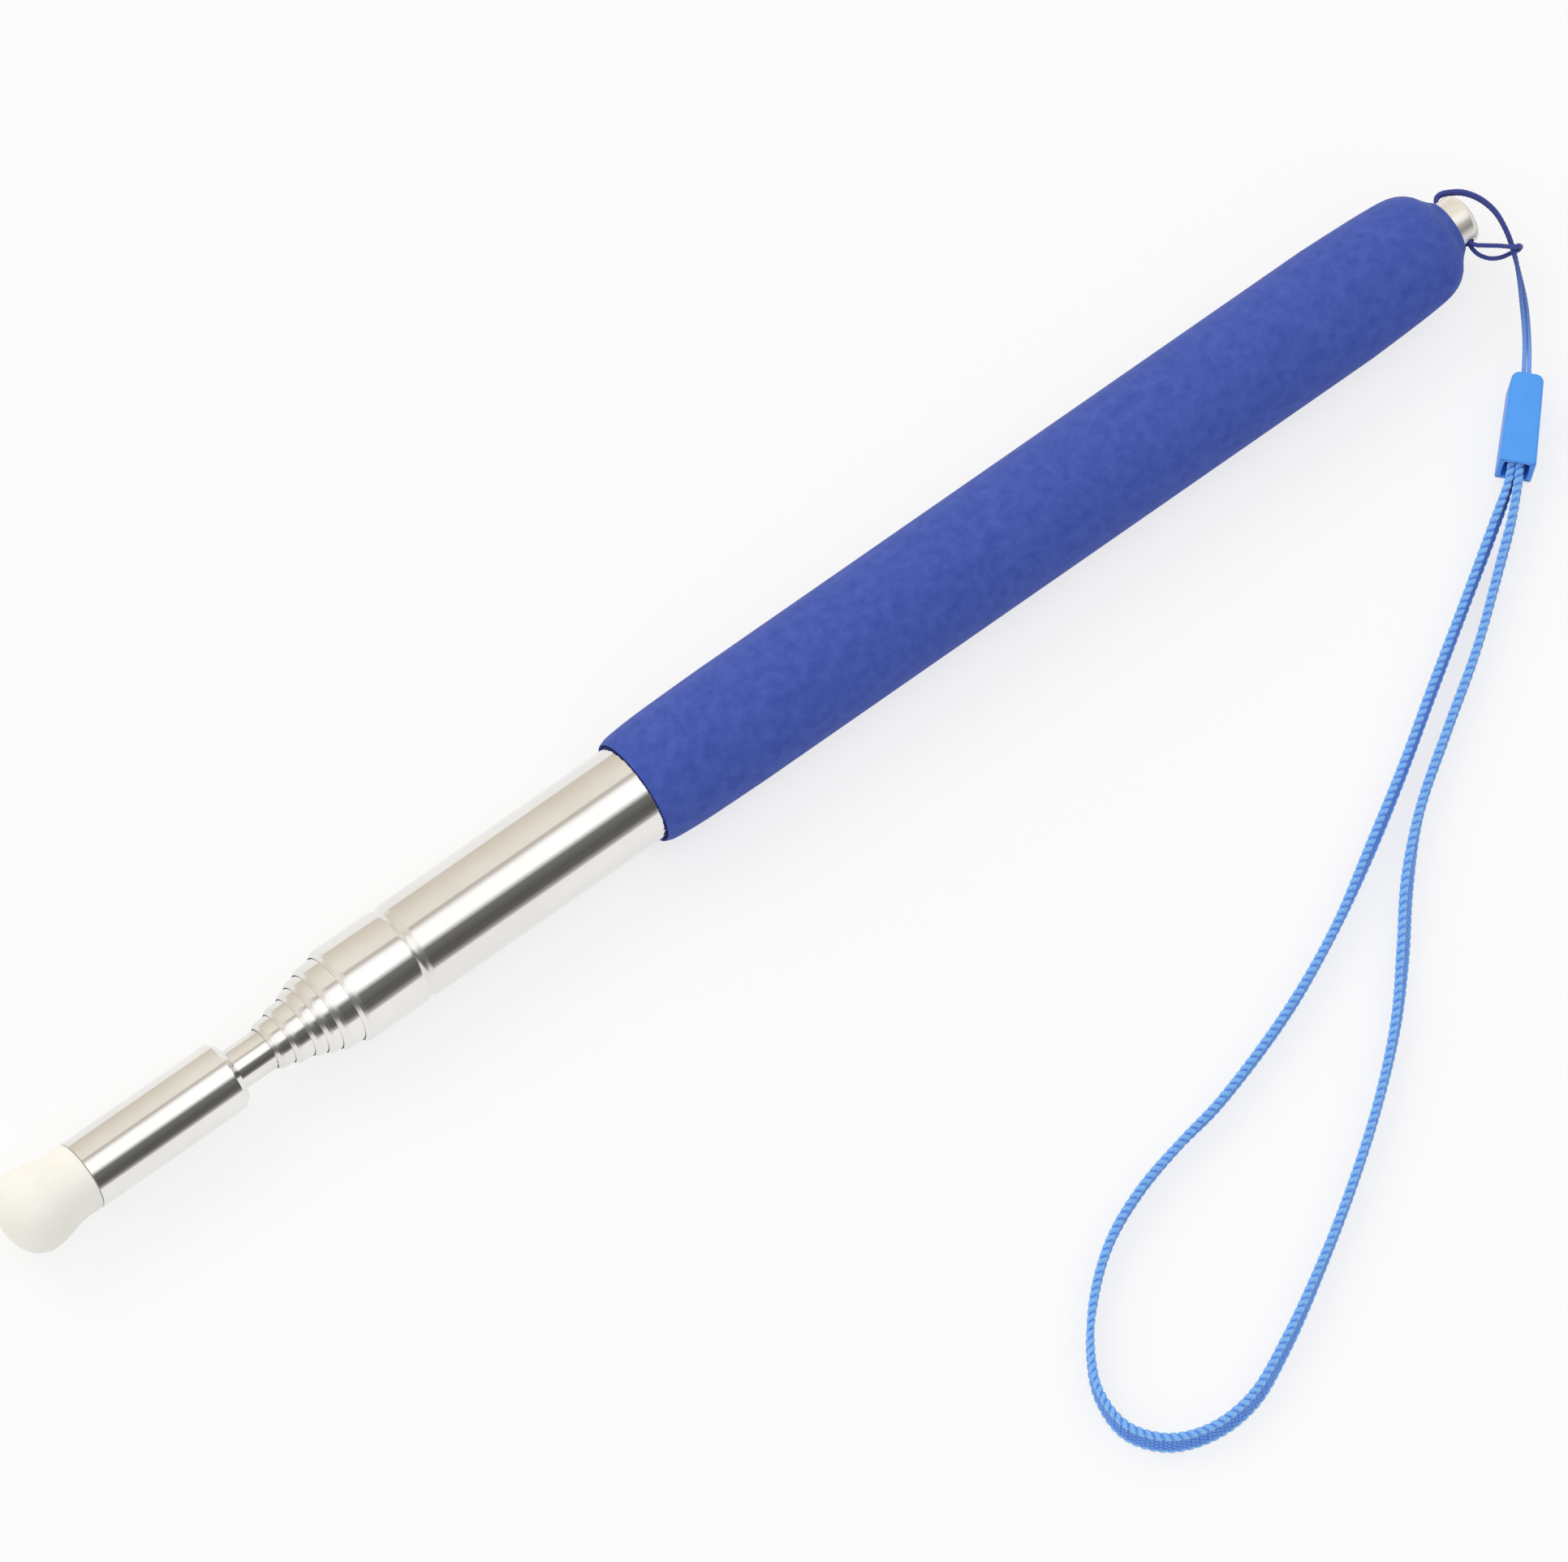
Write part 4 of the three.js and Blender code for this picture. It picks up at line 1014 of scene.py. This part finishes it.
# %% [markdown]
# ## The studio
#
# Polished tubes need something to mirror. The room is a tunnel of soft panels along the
# pointer: a white ceiling, a cream wall behind, and a dark screen in front, which draws the
# dark line along every tube. The world's colour depends only on the angle round the
# pointer's axis, so the tubes look alike from either end. Seen by the camera the world is
# plain white. Where the floor is looked at, straight or in a mirror, most of its brightness
# is its own, which keeps it pale with a soft shadow. The two lamps show in no mirror.

# %% World
# Degrees round the pointer, with 0 straight up and 90 level in front, and a colour for each.
STUDIO = [
    (-180, (0.90, 0.88, 0.84)), (-92, (0.80, 0.75, 0.68)), (-86, (0.72, 0.66, 0.57)),
    (-60, (0.82, 0.76, 0.67)), (-40, (0.90, 0.85, 0.77)), (-20, (0.93, 0.88, 0.80)),
    (-17, (0.60, 0.56, 0.52)), (-12, (0.60, 0.56, 0.52)), (-4, (1.12, 1.11, 1.09)),
    (2, (1.25, 1.25, 1.25)), (28, (1.25, 1.25, 1.25)), (40, (0.19, 0.19, 0.185)),
    (62, (0.11, 0.108, 0.105)), (76, (0.13, 0.128, 0.122)), (85, (0.40, 0.39, 0.37)),
    (91, (0.90, 0.88, 0.85)), (180, (0.90, 0.88, 0.84)),
]

world = bpy.data.worlds.new("studio")
bpy.context.scene.world = world
world.use_nodes = True
tree = world.node_tree
direction = add(tree, "ShaderNodeTexCoord").outputs["Generated"]
parts = add(tree, "ShaderNodeSeparateXYZ", {0: direction})
toward_front = add(tree, "ShaderNodeMath", {0: parts.outputs["Y"], 1: -1.0}, operation="MULTIPLY")
angle_node = add(
    tree, "ShaderNodeMath", {0: toward_front.outputs[0], 1: parts.outputs["Z"]}, operation="ARCTAN2"
)
share = value_range(tree, angle_node.outputs[0], 0.0, 1.0, -math.pi, math.pi)
bands = add(tree, "ShaderNodeValToRGB", {"Fac": share})
while len(bands.color_ramp.elements) < len(STUDIO):
    bands.color_ramp.elements.new(0.5)
for element, (degrees, colour) in zip(bands.color_ramp.elements, STUDIO):
    element.position = degrees / 360 + 0.5
    element.color = colour + (1.0,)
seen = add(tree, "ShaderNodeLightPath").outputs["Is Camera Ray"]
studio_light = add(tree, "ShaderNodeBackground", {"Color": bands.outputs["Color"], "Strength": 1.0})
white = add(tree, "ShaderNodeBackground", {"Color": (1, 1, 1, 1), "Strength": 1.0})
shown = add(tree, "ShaderNodeMixShader", {0: seen, 1: studio_light.outputs[0], 2: white.outputs[0]})
tree.links.new(shown.outputs[0], tree.nodes["World Output"].inputs["Surface"])
print("world:", len(STUDIO), "colours round the pointer")

# %% Floor and lamps
FLOOR_SIZE, FLOOR_PALENESS = 8.0, 0.72
LAMPS = [("key", 0.9, 4.1, (-0.35, 1.0, 1.3)), ("fill", 1.2, 3.1, (-0.15, -1.2, 0.9))]

start_fresh()
bpy.ops.mesh.primitive_plane_add(size=FLOOR_SIZE, location=(0, 0, 0))
floor = bpy.context.object
floor.name = "floor"
floor_finish, tree, shader = new_finish("pale floor")
shader.inputs["Base Color"].default_value = (0.93, 0.935, 0.95, 1)
shader.inputs["Roughness"].default_value = 1.0
shader.inputs["Specular IOR Level"].default_value = 0.0
path = add(tree, "ShaderNodeLightPath")
looked_at = add(tree, "ShaderNodeMath", {
    0: path.outputs["Is Camera Ray"], 1: path.outputs["Is Glossy Ray"],
}, operation="MAXIMUM")
paleness = add(
    tree, "ShaderNodeMath", {0: looked_at.outputs[0], 1: FLOOR_PALENESS}, operation="MULTIPLY"
)
glow = add(tree, "ShaderNodeEmission", {"Color": (1, 1, 1, 1), "Strength": 1.0})
paled = add(tree, "ShaderNodeMixShader", {
    0: paleness.outputs[0], 1: shader.outputs[0], 2: glow.outputs[0],
})
tree.links.new(paled.outputs[0], tree.nodes["Material Output"].inputs["Surface"])
floor.data.materials.append(floor_finish)

for name, size, power, place in LAMPS:
    lamp_data = bpy.data.lights.new(name, "AREA")
    lamp_data.size, lamp_data.energy = size, power
    lamp = bpy.data.objects.new(name, lamp_data)
    bpy.context.scene.collection.objects.link(lamp)
    lamp.location = place
    lamp.rotation_euler = Vector(place).to_track_quat("Z", "Y").to_euler()
    lamp.visible_glossy = False
print("one floor,", len(LAMPS), "lamps")
